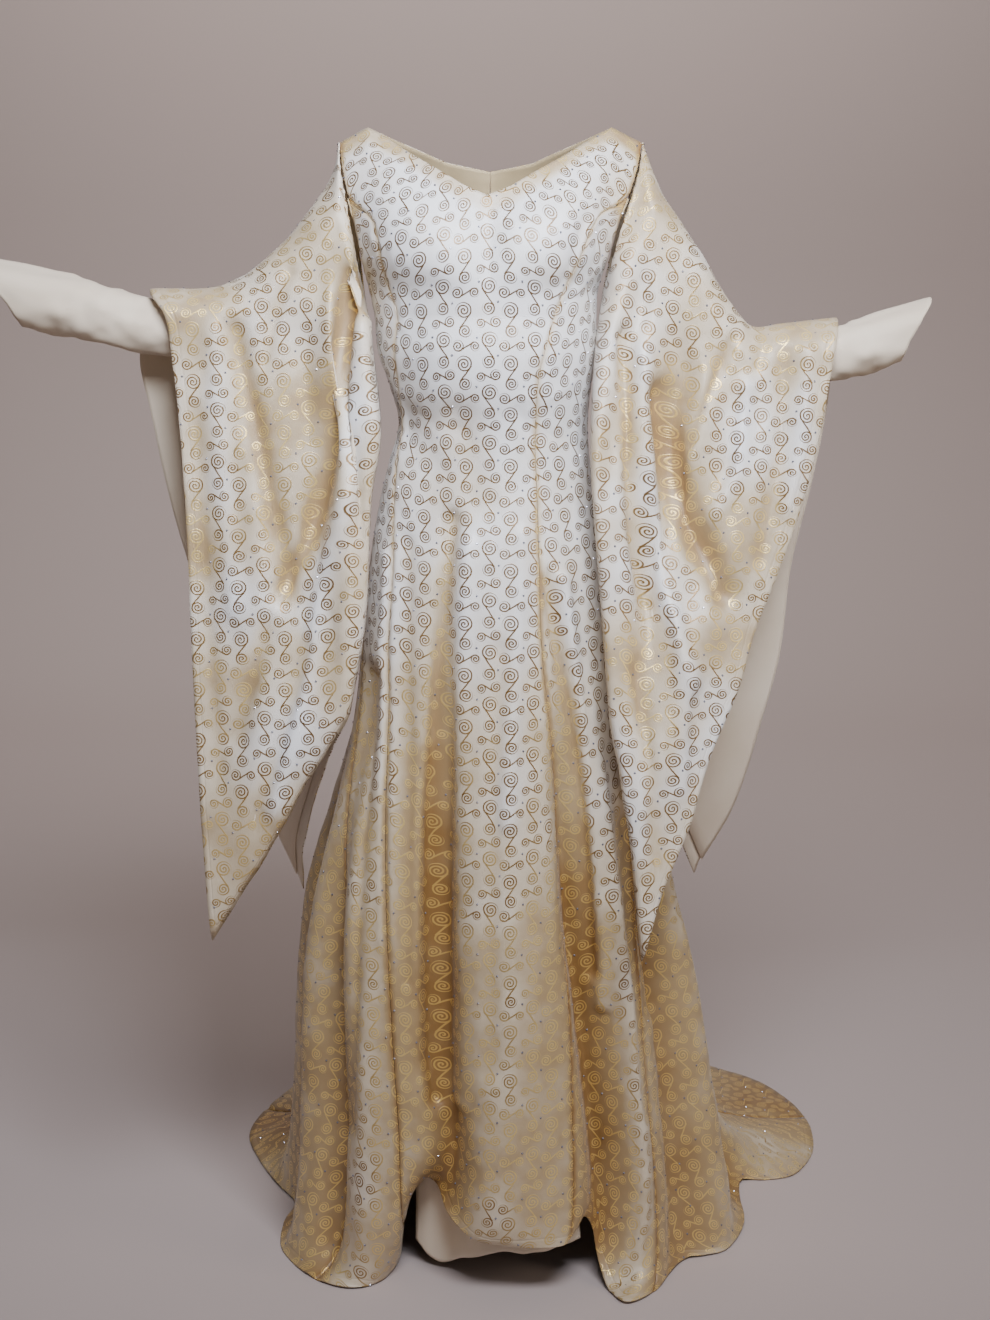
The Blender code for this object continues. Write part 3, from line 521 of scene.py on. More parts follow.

# %% [markdown]
# Creases. Besides its big folds the cloth has narrow ones where it is pulled: below the
# armholes, over the elbows, below the waist and where a fold turns. Each is given as a line over
# the cloth and pressed in or pushed out softly beside it.

# %% Creases
# columns: places as x and z down the crease, depth with a minus for a trough, width
FRONT_CREASES = [
    ([(-0.132, -0.130), (-0.120, -0.159), (-0.108, -0.190), (-0.100, -0.230)], 0.0040, 0.006),
    ([(-0.122, -0.150), (-0.110, -0.185), (-0.103, -0.225)], -0.0040, 0.006),
    ([(0.110, -0.105), (0.098, -0.150), (0.088, -0.200)], -0.0030, 0.008),
    ([(0.122, -0.165), (0.100, -0.190), (0.082, -0.196)], 0.0024, 0.006),
    ([(-0.040, -0.335), (-0.022, -0.385), (-0.014, -0.430)], -0.0050, 0.022),
    ([(0.030, -0.325), (0.052, -0.350), (0.082, -0.360)], -0.0016, 0.007),
    ([(-0.098, -0.325), (-0.060, -0.345), (-0.030, -0.350)], -0.0016, 0.007),
    ([(0.100, -0.290), (0.070, -0.310), (0.040, -0.312)], 0.0016, 0.006),
    ([(-0.100, -0.345), (-0.062, -0.400), (-0.062, -0.520), (-0.072, -0.750), (-0.078, -1.100)],
     -0.0060, 0.026),
    ([(-0.046, -0.450), (-0.056, -0.540), (-0.062, -0.640), (-0.066, -0.800), (-0.064, -1.150)],
     -0.0110, 0.011),
    ([(-0.026, -0.480), (-0.034, -0.640), (-0.036, -0.900), (-0.034, -1.150)], 0.0050, 0.010),
    ([(0.062, -0.520), (0.076, -0.580), (0.092, -0.660), (0.110, -0.800), (0.124, -1.000)],
     -0.0100, 0.009),
    ([(0.084, -0.520), (0.108, -0.700), (0.124, -0.860), (0.136, -1.040)], 0.0070, 0.008),
    ([(0.038, -0.470), (0.030, -0.600), (0.020, -0.800)], 0.0045, 0.011),
    ([(0.012, -0.600), (0.004, -0.800), (0.000, -1.100)], -0.0040, 0.012),
    ([(-0.098, -0.480), (-0.098, -0.700), (-0.100, -1.000)], -0.0040, 0.009),
    ([(-0.118, -0.500), (-0.122, -0.700), (-0.124, -0.950)], 0.0060, 0.010),
    ([(-0.140, -0.640), (-0.158, -0.900), (-0.176, -1.200)], -0.0080, 0.011),
    ([(0.165, -0.820), (0.184, -1.000), (0.200, -1.180)], -0.0060, 0.012),
    ([(0.205, -0.900), (0.230, -1.080), (0.246, -1.240)], 0.0060, 0.012),
]
BACK_CREASES = [
    ([(-0.020, -0.300), (-0.045, -0.335), (-0.080, -0.350)], -0.0020, 0.008),
    ([(0.024, -0.310), (0.050, -0.345), (0.086, -0.352)], -0.0020, 0.008),
    ([(-0.100, -0.120), (-0.085, -0.180), (-0.078, -0.240)], -0.0035, 0.009),
    ([(0.104, -0.120), (0.088, -0.175), (0.080, -0.245)], -0.0035, 0.009),
    ([(0.010, -0.400), (0.020, -0.520), (0.024, -0.700)], -0.0040, 0.012),
    ([(-0.040, -0.430), (-0.062, -0.600), (-0.080, -0.800)], 0.0045, 0.012),
    ([(0.060, -0.450), (0.085, -0.640), (0.105, -0.860)], 0.0045, 0.012),
    ([(-0.100, -0.520), (-0.140, -0.760), (-0.170, -1.000)], -0.0060, 0.012),
    ([(0.120, -0.560), (0.160, -0.800), (0.190, -1.060)], -0.0060, 0.012),
]
SLEEVE_CREASES = {
    "left": [
        ([(-0.157, -0.178), (-0.170, -0.253), (-0.183, -0.329), (-0.195, -0.404), (-0.213, -0.480),
          (-0.246, -0.536)], -0.0130, 0.012),
        ([(-0.298, -0.236), (-0.275, -0.340), (-0.257, -0.433), (-0.234, -0.538)], -0.0100, 0.013),
        ([(-0.150, -0.228), (-0.159, -0.404), (-0.194, -0.526), (-0.214, -0.644), (-0.256, -0.790)],
         0.0090, 0.013),
        ([(-0.265, -0.584), (-0.302, -0.708)], -0.0080, 0.014),
        ([(-0.176, -0.040), (-0.166, -0.080), (-0.156, -0.120)], 0.0030, 0.008),
        ([(-0.232, -0.170), (-0.250, -0.215), (-0.262, -0.270)], -0.0040, 0.008),
        ([(-0.320, -0.240), (-0.316, -0.400), (-0.300, -0.560)], 0.0060, 0.014),
        ([(-0.345, -0.330), (-0.335, -0.560), (-0.322, -0.760)], -0.0040, 0.010),
        ([(-0.215, -0.600), (-0.240, -0.700), (-0.275, -0.800)], -0.0060, 0.010),
    ],
    "right": [
        ([(0.155, -0.240), (0.160, -0.380), (0.168, -0.470), (0.185, -0.560)], -0.0090, 0.008),
        ([(0.199, -0.310), (0.212, -0.390), (0.228, -0.450), (0.275, -0.538)], -0.0150, 0.018),
        ([(0.284, -0.245), (0.248, -0.325), (0.232, -0.365)], -0.0060, 0.007),
        ([(0.322, -0.240), (0.313, -0.277)], -0.0040, 0.006),
        ([(0.178, -0.260), (0.184, -0.400), (0.200, -0.520), (0.236, -0.640)], 0.0080, 0.010),
        ([(0.300, -0.300), (0.290, -0.400), (0.262, -0.450)], 0.0070, 0.010),
        ([(0.345, -0.260), (0.340, -0.380), (0.318, -0.500)], -0.0050, 0.011),
        ([(0.372, -0.260), (0.366, -0.360), (0.350, -0.440)], 0.0050, 0.010),
        ([(0.170, -0.620), (0.186, -0.740), (0.196, -0.840)], -0.0060, 0.009),
        ([(0.215, -0.560), (0.226, -0.660), (0.222, -0.760)], 0.0050, 0.010),
    ],
}
BACK_SHIFT = 0.035


def crease_push(creases, x, z, shift=0.0):
    """How far the creases move each point of a grid, from its x and z."""
    push = np.zeros_like(x)
    for places, depth, width in creases:
        near = np.full_like(x, np.inf)
        for (x0, z0), (x1, z1) in zip(places, places[1:]):
            run = np.array([x1 - x0, z1 - z0])
            share = ((x - shift - x0) * run[0] + (z - z0) * run[1]) / (run @ run)
            share = np.clip(share, 0.0, 1.0)
            away = np.hypot(x - shift - x0 - share * run[0], z - z0 - share * run[1])
            near = np.minimum(near, away)
        push += depth * np.exp(-(near / width) ** 2)
    return push


print(len(FRONT_CREASES) + len(BACK_CREASES), "creases on the body")

# %% [markdown]
# From rule to cloth. A grid of places becomes a mesh with bmesh's own grid, which brings its
# faces along. Each point keeps its place on the flat cloth in metres as its UV, so the woven
# pattern has one scale everywhere, and a measure of painted shade, led by how deep it lies in a
# fold, which sets the painted light and shade of the satin.


def grid_normals(places):
    across = np.gradient(places, axis=0)
    down = np.gradient(places, axis=1)
    normals = np.cross(across, down)
    lengths = np.linalg.norm(normals, axis=2, keepdims=True)
    return normals / np.maximum(lengths, 1e-12)


def uneven(places, scale, height, seed):
    """A soft unevenness, as cloth has, in metres."""
    out = np.zeros(places.shape[:2])
    for i in range(places.shape[0]):
        for j in range(places.shape[1]):
            out[i, j] = noise.noise(Vector(places[i, j]) / scale + Vector((seed, 0.0, seed)))
    return out * height


def cloth_from_grid(name, places, flat, fold, outward, edge):
    """A single layer of cloth with its UV map, faces outward, and two measures kept on its points."""
    columns, rows = places.shape[:2]
    form = bmesh.new()
    bmesh.ops.create_grid(form, x_segments=columns - 1, y_segments=rows - 1, size=1.0)
    # The fold measure is the painted shade that sets the brocade's painted light and shade colours
    fold_layer = form.verts.layers.float.new("fold")
    edge_layer = form.verts.layers.float.new("edge")
    uv_layer = form.loops.layers.uv.new("cloth")
    index = {}
    for v in form.verts:
        i = round((v.co.x + 1) / 2 * (columns - 1))
        j = round((v.co.y + 1) / 2 * (rows - 1))
        index[v] = (i, j)
    for v, (i, j) in index.items():
        v.co = places[i, j]
        v[fold_layer] = fold[i, j]
        v[edge_layer] = edge[i, j]
    for face in form.faces:
        for loop in face.loops:
            loop[uv_layer].uv = flat[index[loop.vert]]
    form.normal_update()
    facing = 0.0
    for face in form.faces:
        facing += face.normal.dot(outward(face.calc_center_median())) * face.calc_area()
    if facing < 0:
        bmesh.ops.reverse_faces(form, faces=form.faces[:])
    mesh = bpy.data.meshes.new(name)
    form.to_mesh(mesh)
    form.free()
    mesh.shade_smooth()
    piece = bpy.data.objects.new(name, mesh)
    bpy.context.scene.collection.objects.link(piece)
    return piece


def give_thickness(piece, thickness, outside, inside):
    piece.data.materials.append(outside)
    piece.data.materials.append(inside)
    wall = piece.modifiers.new("cloth", "SOLIDIFY")
    wall.thickness = thickness
    wall.offset = -1.0
    wall.material_offset = 1


def lengths_along(places, axis):
    steps = np.linalg.norm(np.diff(places, axis=axis), axis=2)
    pad = np.zeros((1, steps.shape[1])) if axis == 0 else np.zeros((steps.shape[0], 1))
    return np.concatenate([pad, np.cumsum(steps, axis=axis)], axis=axis)


def declare_cloth(piece, node):
    """Every piece of cloth rides on the root body and stands for its solid."""
    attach(piece, "root")
    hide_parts(node)


# %% [markdown]
# Colours are read as hex values, the way a dyer's card or a web page gives them, and turned
# to the linear values that the renderer works in.

# %% Colour and node helpers
def hex_colour(text):
    values = [int(text[i:i + 2], 16) / 255 for i in (1, 3, 5)]
    linear = [v / 12.92 if v <= 0.04045 else ((v + 0.055) / 1.055) ** 2.4 for v in values]
    return (*linear, 1.0)


def add(material, kind, links=None, **settings):
    """One node with its settings; links gives each input's socket or value."""
    tree = material.node_tree
    node = tree.nodes.new(kind)
    for key, value in settings.items():
        setattr(node, key, value)
    for key, value in (links or {}).items():
        if isinstance(value, bpy.types.NodeSocket):
            tree.links.new(value, node.inputs[key])
        else:
            node.inputs[key].default_value = value
    return node.outputs[0]


def calc(material, operation, *values):
    return add(material, "ShaderNodeMath", dict(enumerate(values)), operation=operation)


def move(material, operation, *values):
    return add(material, "ShaderNodeVectorMath", dict(enumerate(values)), operation=operation)


def remap(material, value, span, result, **settings):
    """A value between the ends of span, carried over to the ends of result."""
    ends = {"Value": value, "From Min": span[0], "From Max": span[1],
            "To Min": result[0], "To Max": result[1]}
    return add(material, "ShaderNodeMapRange", ends, **settings)


def speckle(material, place, scale, detail):
    return add(material, "ShaderNodeTexNoise", {"Vector": place, "Scale": scale, "Detail": detail})


def blend(material, share, start, end):
    mixed = add(material, "ShaderNodeMix", {"Factor": share, 6: start, 7: end}, data_type="RGBA")
    return mixed.node.outputs[2]


def attribute(material, name):
    return add(material, "ShaderNodeAttribute", attribute_name=name).node.outputs["Fac"]


def new_material(name, **values):
    material = bpy.data.materials.new(name)
    material.use_nodes = True
    shader = material.node_tree.nodes["Principled BSDF"]
    for key, value in values.items():
        shader.inputs[key.replace("_", " ")].default_value = value
    return material, shader


print("cream is", [round(v, 3) for v in hex_colour("#E9DCC4")])

# %% [markdown]
# The brocade. A satin ground carries S-scrolls in gold thread: a large coil joined to a small
# one by a stem, its mirror image beside it, and pairs of small coils between them. It is charted
# on a cell of 56 by 64, and a scale brings that to the woven repeat of 53 by 60 mm. Each coil is
# a spiral by its distance in polar coordinates, each stem the distance to a straight line.

# %% The scroll pattern
REPEAT = (56.0, 64.0)
PATTERN_SCALE = 0.945
LINE_WIDTH = 1.5
COIL_END = 0.2
# columns: x, y down, radius, turns, way round, direction of the outer end in degrees
COILS = [
    (0.0, 0.0, 9.0, 2.3, 1, 200.0),
    (-1.0, 26.0, 6.9, 2.0, 1, 20.0),
    (25.0, 29.0, 9.0, 2.3, -1, -20.0),
    (26.5, 53.0, 6.9, 2.0, -1, 160.0),
    (17.5, 7.6, 6.2, 1.8, -1, 50.0),
    (38.5, 7.4, 4.9, 1.6, -1, 235.0),
    (-11.0, 44.2, 4.9, 1.6, 1, 305.0),
    (7.6, 42.4, 5.8, 1.8, 1, 125.0),
]
# columns: x, y down, x end, y end
STEMS = [
    (-8.4, 3.0, 5.2, 22.6),
    (33.4, 32.0, 20.4, 49.4),
    (21.4, 12.4, 35.6, 3.4),
    (-8.2, 40.2, 4.2, 47.2),
]


def near_cell(material, place, middle):
    """The way from a middle to a place, in the nearest cell of the repeat."""
    half = (REPEAT[0] / 2, REPEAT[1] / 2, 1.0)
    low = (-REPEAT[0] / 2, -REPEAT[1] / 2, -1.0)
    away = move(material, "SUBTRACT", place, middle)
    return move(material, "WRAP", away, half, low)


def coil_distance(material, place, x, y, radius, turns, way, end):
    pitch = radius / turns
    near = near_cell(material, place, (x, y, 0.0))
    reach = move(material, "LENGTH", near).node.outputs["Value"]
    apart = add(material, "ShaderNodeSeparateXYZ", {0: near}).node
    turn = calc(material, "ARCTAN2", apart.outputs[1], apart.outputs[0])
    start = way * math.radians(end) / (2 * math.pi) - radius / pitch
    shifted = calc(material, "MULTIPLY_ADD", turn, -way / (2 * math.pi), start)
    wound = calc(material, "MULTIPLY_ADD", reach, 1 / pitch, shifted)
    off = calc(material, "ABSOLUTE", calc(material, "WRAP", wound, 0.5, -0.5))
    off = calc(material, "MULTIPLY", off, pitch)
    beyond = calc(material, "SUBTRACT", reach, radius + COIL_END)
    return calc(material, "MAXIMUM", off, beyond)


def stem_distance(material, place, x0, y0, x1, y1):
    run = Vector((x1 - x0, y1 - y0, 0.0))
    reach = run.length / 2
    way = run.normalized()
    near = near_cell(material, place, ((x0 + x1) / 2, (y0 + y1) / 2, 0.0))
    along = move(material, "DOT_PRODUCT", near, way).node.outputs["Value"]
    along = add(material, "ShaderNodeClamp", {0: along, 1: -reach, 2: reach})
    foot = add(material, "ShaderNodeVectorMath", {0: way, "Scale": along}, operation="SCALE")
    return move(material, "DISTANCE", near, foot).node.outputs["Value"]


def scroll_distance(material, place):
    """Distance in millimetres from a place on the cloth to the nearest gold line."""
    nearest = coil_distance(material, place, *COILS[0])
    for coil in COILS[1:]:
        nearest = calc(material, "MINIMUM", nearest, coil_distance(material, place, *coil))
    for stem in STEMS:
        nearest = calc(material, "MINIMUM", nearest, stem_distance(material, place, *stem))
    return nearest


print(len(COILS), "coils and", len(STEMS), "stems in a repeat")

# %% [markdown]
# Satin shows the yarns that float on it. Its light and shade are painted into its colour: it is
# painted cool and nearly white where it faces the lamp, and warm and golden where it turns away or
# lies deep in a fold, because there it only sees itself. The gold thread is painted the reverse:
# dark on the bright cloth and shining on the deep cloth. A measure of painted shade from 0 to 1,
# kept on the points of the cloth, leads both colours.

# %% Brocade and the other cloths
HEM_TURN = 0.011
STITCH_WIDTH = 0.0022
STITCH_DEPTH = 2.2
HAND_WOBBLE = 1.6
LINE_RIM = 0.82
LINE_CORE = 0.34
TONE = 0.09
THREAD_METAL = 0.45
SATIN_TO_THREAD_ROUGHNESS = (0.48, 0.38)
YARNS_PER_METRE = (950.0, 260.0, 0.0)
# Painted light and shade: the ground runs from a cool painted highlight to a warm painted shade, the gold
# thread from painted dark to a painted shine
# columns: measure, colour
GROUND_PAINTED_LIGHT_AND_SHADE = [(0.0, "#E6E7E9"), (0.36, "#CDC0AA"), (0.58, "#A38C68"), (1.0, "#815F33")]
GOLD_PAINTED_LIGHT_AND_SHADE = [(0.0, "#6B5335"), (0.36, "#86693D"), (0.52, "#E0C685"), (1.0, "#D0AA60")]


def ramp(material, measure, colours):
    out = add(material, "ShaderNodeValToRGB", {"Fac": measure})
    stops = out.node.color_ramp.elements
    while len(stops) < len(colours):
        stops.new(0.5)
    for stop, (place, colour) in zip(stops, colours):
        stop.position = place
        stop.color = hex_colour(colour)
    return out


def brocade_material():
    # Satin brocade: floats of cream yarn, gold metallised thread in the scrolls
    material, shader = new_material("satin brocade, cream with gold scrolls")
    link = material.node_tree.links.new
    place = add(material, "ShaderNodeUVMap", uv_map="cloth")
    wobble = speckle(material, place, 70.0, 1.0).node.outputs["Color"]
    wobble = move(material, "SUBTRACT", wobble, (0.5, 0.5, 0.5))
    scale = 1000.0 / PATTERN_SCALE
    millimetres = move(material, "MULTIPLY", place, (scale, -scale, 0.0))
    loose = move(material, "MULTIPLY_ADD", wobble, (HAND_WOBBLE, HAND_WOBBLE, 0.0), millimetres)
    distance = scroll_distance(material, loose)
    rim = (LINE_WIDTH * LINE_RIM, LINE_WIDTH * LINE_CORE)
    thread = remap(material, distance, rim, (0.0, 1.0), interpolation_type="SMOOTHSTEP")
    tone = remap(material, speckle(material, place, 16.0, 4.0), (0.3, 0.7), (-TONE, TONE))
    # The fold measure is painted shade with random tone; it picks the painted light and shade of the satin
    # ground and of the gold thread
    deep = calc(material, "ADD", attribute(material, "fold"), tone)
    deep = add(material, "ShaderNodeClamp", {0: deep, 1: 0.0, 2: 1.0})
    ground = ramp(material, deep, GROUND_PAINTED_LIGHT_AND_SHADE)
    gold = ramp(material, deep, GOLD_PAINTED_LIGHT_AND_SHADE)
    link(blend(material, thread, ground, gold), shader.inputs["Base Color"])
    link(calc(material, "MULTIPLY", thread, THREAD_METAL), shader.inputs["Metallic"])
    link(remap(material, thread, (0.0, 1.0), SATIN_TO_THREAD_ROUGHNESS), shader.inputs["Roughness"])
    shader.inputs["Sheen Weight"].default_value = 0.12
    shader.inputs["Sheen Roughness"].default_value = 0.4
    shader.inputs["Specular IOR Level"].default_value = 0.62
    shader.inputs["Anisotropic"].default_value = 0.35
    # Yarns of 0.35 mm are drawn three times as coarse, so that they show
    yarn = speckle(material, move(material, "MULTIPLY", place, YARNS_PER_METRE), 1.0, 2.0)
    off = calc(material, "SUBTRACT", attribute(material, "edge"), HEM_TURN)
    stitch = remap(material, calc(material, "ABSOLUTE", off), (0.0, STITCH_WIDTH), (-STITCH_DEPTH, 0.0))
    relief = calc(material, "ADD", calc(material, "MULTIPLY_ADD", thread, 1.0, yarn), stitch)
    bump = add(material, "ShaderNodeBump", {"Height": relief, "Strength": 0.35, "Distance": 0.0005})
    link(bump, shader.inputs["Normal"])
    return material


def crepe_material(name, colour, deep_colour):
    # Polyester crepe: matt, finely pebbled by its twisted yarns
    material, shader = new_material(name, Roughness=0.72)
    shader.inputs["Sheen Weight"].default_value = 0.15
    link = material.node_tree.links.new
    place = add(material, "ShaderNodeUVMap", uv_map="cloth")
    shade = remap(material, speckle(material, place, 14.0, 3.0), (0.3, 0.75), (0.0, 0.6))
    link(blend(material, shade, hex_colour(colour), hex_colour(deep_colour)), shader.inputs["Base Color"])
    pebble = speckle(material, place, 1400.0, 2.0)
    bump = add(material, "ShaderNodeBump", {"Height": pebble, "Strength": 0.3, "Distance": 0.0004})
    link(bump, shader.inputs["Normal"])
    return material


brocade = brocade_material()
crepe = crepe_material("polyester crepe, ivory", "#DDD0BD", "#CDBDA6")
wrong_side = crepe_material("wrong side of the brocade, olive tan", "#B9A784", "#A39069")
print("brocade has", len(brocade.node_tree.nodes), "nodes")

# %% [markdown]
# The seven panels. Each runs from one seam line to the next. Rows are 5 mm apart, and columns
# crowd towards the seams, where the cloth dips into the stitching and puckers a little.

# %% Make the body panels
ROW_STEP = 0.005
SEAM_GAP = 0.0005
DIP = 0.0010
DIP_WIDTH = 0.0035
PUCKER = 0.00045
PUCKER_PERIOD = 0.017
PUCKER_REACH = 0.011
PAINTED_SHADE_DEPTH = 0.052
NECK_BAND = 0.026
WAIST = 0.345
SIDE_START = 0.0733
# How far painted shade makes the cloth warm and dark: down the skirt, at its sides, by the neck, in folds in
# front and behind, at the seams; and random clouds of tone
LOWER_PAINTED_SHADE = 0.52
SIDE_PAINTED_SHADE = 0.20
NECK_PAINTED_SHADE = 0.42
FRONT_FOLD_PAINTED_SHADE = 0.60
BACK_FOLD_PAINTED_SHADE = 0.34
SEAM_PAINTED_SHADE = 0.35
CLOUD_TINT = 0.16
SEAM_HOLD = 0.009
# columns: name, half, first line, last line, columns of points
PANELS = [
    ("front_centre", "front", -1, 1, 84),
    ("front_side_left", "front", -2, -1, 40),
    ("front_side_right", "front", 1, 2, 40),
    ("back_side_left", "back", -3, -2, 44),
    ("back_side_right", "back", 2, 3, 44),
    ("back_left", "back", -4, -3, 52),
    ("back_right", "back", 3, 4, 52),
]


def crowd(share):
    """Shares that lie closer together at both ends."""
    return mix(share, 0.5 - 0.5 * math.cos(math.pi * share), 0.6)


def body_outward(place):
    return Vector((place.x, place.y - 0.04, 0.02 if place.z < -1.35 else 0.0))


def panel_grid(half, first, last, columns):
    start = 0.0 if abs(first) == 4 or abs(last) == 4 or (first, last) == (-1, 1) else SIDE_START
    rows = int(round((HEM_END - start) / ROW_STEP))
    downs = [mix(start, HEM_END, j / rows) for j in range(rows + 1)]
    places = np.zeros((columns + 1, rows + 1, 3))
    folds = np.zeros((columns + 1, rows + 1))
    for i in range(columns + 1):
        line = last if i == columns else mix(first, last, crowd(i / columns))
        for j, down in enumerate(downs):
            around = cloth_angle(line, down)
            places[i, j] = body(half, around, down)
            folds[i, j] = fold_depth(around, min(down, SKIRT_END))
    return places, folds, np.array(downs)


def seam_distance(places):
    """Distance across the cloth to the nearer side seam."""
    across = lengths_along(places, 0)
    return np.minimum(across, across[-1:, :] - across)


def body_painted_shade_and_tone(places, folds, push, seam, run, downs):
    """Painted light and shade: cool painted light on the chest, painted warm shade down the skirt, at its
    sides, by the neck, in folds and at seams, and random clouds of tone.
    """
    x = np.abs(places[:, :, 0])
    lower = np.clip((downs - 0.34) / 0.62, 0.0, 1.0)[None, :] * LOWER_PAINTED_SHADE
    side = np.clip((x - 0.09 - downs * 0.06) / 0.09, 0.0, 1.0) * SIDE_PAINTED_SHADE
    neck = np.exp(-(run / NECK_BAND) ** 4) * NECK_PAINTED_SHADE
    # Painted shade in the valleys of folds and creases, and half as much painted light on their ridges
    deep = np.clip(-(folds + push * 2.0) / PAINTED_SHADE_DEPTH, -0.35, 1.0)
    ahead = np.where(places[:, :, 1] < 0.0, FRONT_FOLD_PAINTED_SHADE, BACK_FOLD_PAINTED_SHADE)
    deep = np.where(deep > 0, deep * ahead, deep * 0.5)
    sewn = np.exp(-(seam / 0.0045) ** 2) * SEAM_PAINTED_SHADE
    cloud = uneven(places, 0.16, CLOUD_TINT, 21.0)
    return np.clip(lower + side + neck + deep + sewn + cloud, 0.0, 1.0)


def finish_body_panel(name, half, first, last, columns):
    places, folds, downs = panel_grid(half, first, last, columns)
    normals = grid_normals(places)
    sign = np.sign(np.sum(normals * (places - np.array([0.0, 0.04, 0.0])) * np.array([1, 1, 0])))
    normals *= sign
    seam = seam_distance(places)
    run = lengths_along(places, 1)
    creases = FRONT_CREASES if half == "front" else BACK_CREASES
    push = crease_push(creases, places[:, :, 0], places[:, :, 2])
    lying = np.clip((downs - SKIRT_END) / (HEM_END - SKIRT_END), 0.0, 1.0)
    push *= 1.0 - lying ** 2
    puckers = PUCKER * np.sin(run * 2 * math.pi / PUCKER_PERIOD) * np.exp(-seam / PUCKER_REACH)
    soft = uneven(places, 0.055, 0.0016, 3.0) + uneven(places, 0.020, 0.0005, 9.0)
    low = uneven(places, 0.075, 0.0040, 5.0) * lying + np.abs(uneven(places, 0.11, 0.006, 8.0)) * lying ** 2
    down_into = -DIP * np.exp(-(seam / DIP_WIDTH) ** 2)
    free = 1.0 - np.exp(-(seam / SEAM_HOLD) ** 2)
    moved = places + normals * ((push + soft + low) * free + puckers + down_into)[:, :, None]
    moved[:, :, 2] = np.maximum(moved[:, :, 2], FLOOR + LAYING_HEIGHT)
    across = lengths_along(places, 0)
    waist = int(np.argmin(np.abs(downs - WAIST)))
    flat = np.stack([across - across[columns // 2], run[:, waist:waist + 1] - run - WAIST], axis=2)
    # Painted shade and random tone, kept on the points as the fold measure
    painted_shade_and_tone = body_painted_shade_and_tone(places, folds, push, seam, run, downs)
    edge = run[:, -1:] - run
    step = moved[1] - moved[0]
    moved[0] += step / np.linalg.norm(step, axis=1, keepdims=True) * SEAM_GAP / 2
    step = moved[-2] - moved[-1]
    moved[-1] += step / np.linalg.norm(step, axis=1, keepdims=True) * SEAM_GAP / 2
    piece = cloth_from_grid("cloth_" + name, moved, flat, painted_shade_and_tone, body_outward, edge)
    give_thickness(piece, CLOTH, brocade, wrong_side)
    return piece, moved, flat


body_cloth = {}
for row in PANELS:
    body_cloth[row[0]] = finish_body_panel(*row)
    print("made", row[0], "with", len(body_cloth[row[0]][0].data.polygons), "faces")

# %% [markdown]
# The wide sleeves come from the same kind of grid, up the back layer, over the arm and down
# the front one. Their pattern lies upright, as they are cut with the grain hanging down.

# %% Make the sleeves and their linings
SLEEVE_COLUMNS = 84
SLEEVE_ROWS = 96
TOP_CROWD = 1.7
LAYER_SHIFT = 0.31
# Painted shade on the sleeves: an even level, more in their creases, and random clouds of tone
SLEEVE_PAINTED_SHADE = 0.34
SLEEVE_FOLD_PAINTED_SHADE = 0.42
SLEEVE_CLOUD = 0.34
BACK_CREASE_SHARE = 0.8
TOP_REACH = 0.05
LINING_COLUMNS_LONG = 56
LINING_ROWS_LONG = 60
LINING_START = 0.3125
LINING_INSET = 0.0026
LINING_CLOTH = 0.0010
LINING_END = 0.975


def sleeve_places(side, first_along, last_down, columns, rows):
    places = np.zeros((columns + 1, 2 * rows + 1, 3))
    layers = np.zeros((columns + 1, 2 * rows + 1))
    for i in range(columns + 1):
        along = mix(first_along, 1.0, i / columns)
        sewn = 1.0 - soften((along - SEAM_SHARE) / 0.04)
        limit = mix(last_down, min(last_down, 0.93), sewn) if last_down < 1.0 else 1.0
        for j in range(2 * rows + 1):
            layer = 1 if j < rows else -1
            down = (abs(j - rows) / rows) ** TOP_CROWD * limit
            places[i, j] = sleeve(side, layer, along, down)
            layers[i, j] = layer
    return places, layers


def sleeve_outward(place):
    return Vector((0.0, place.y + 0.045, 0.0))


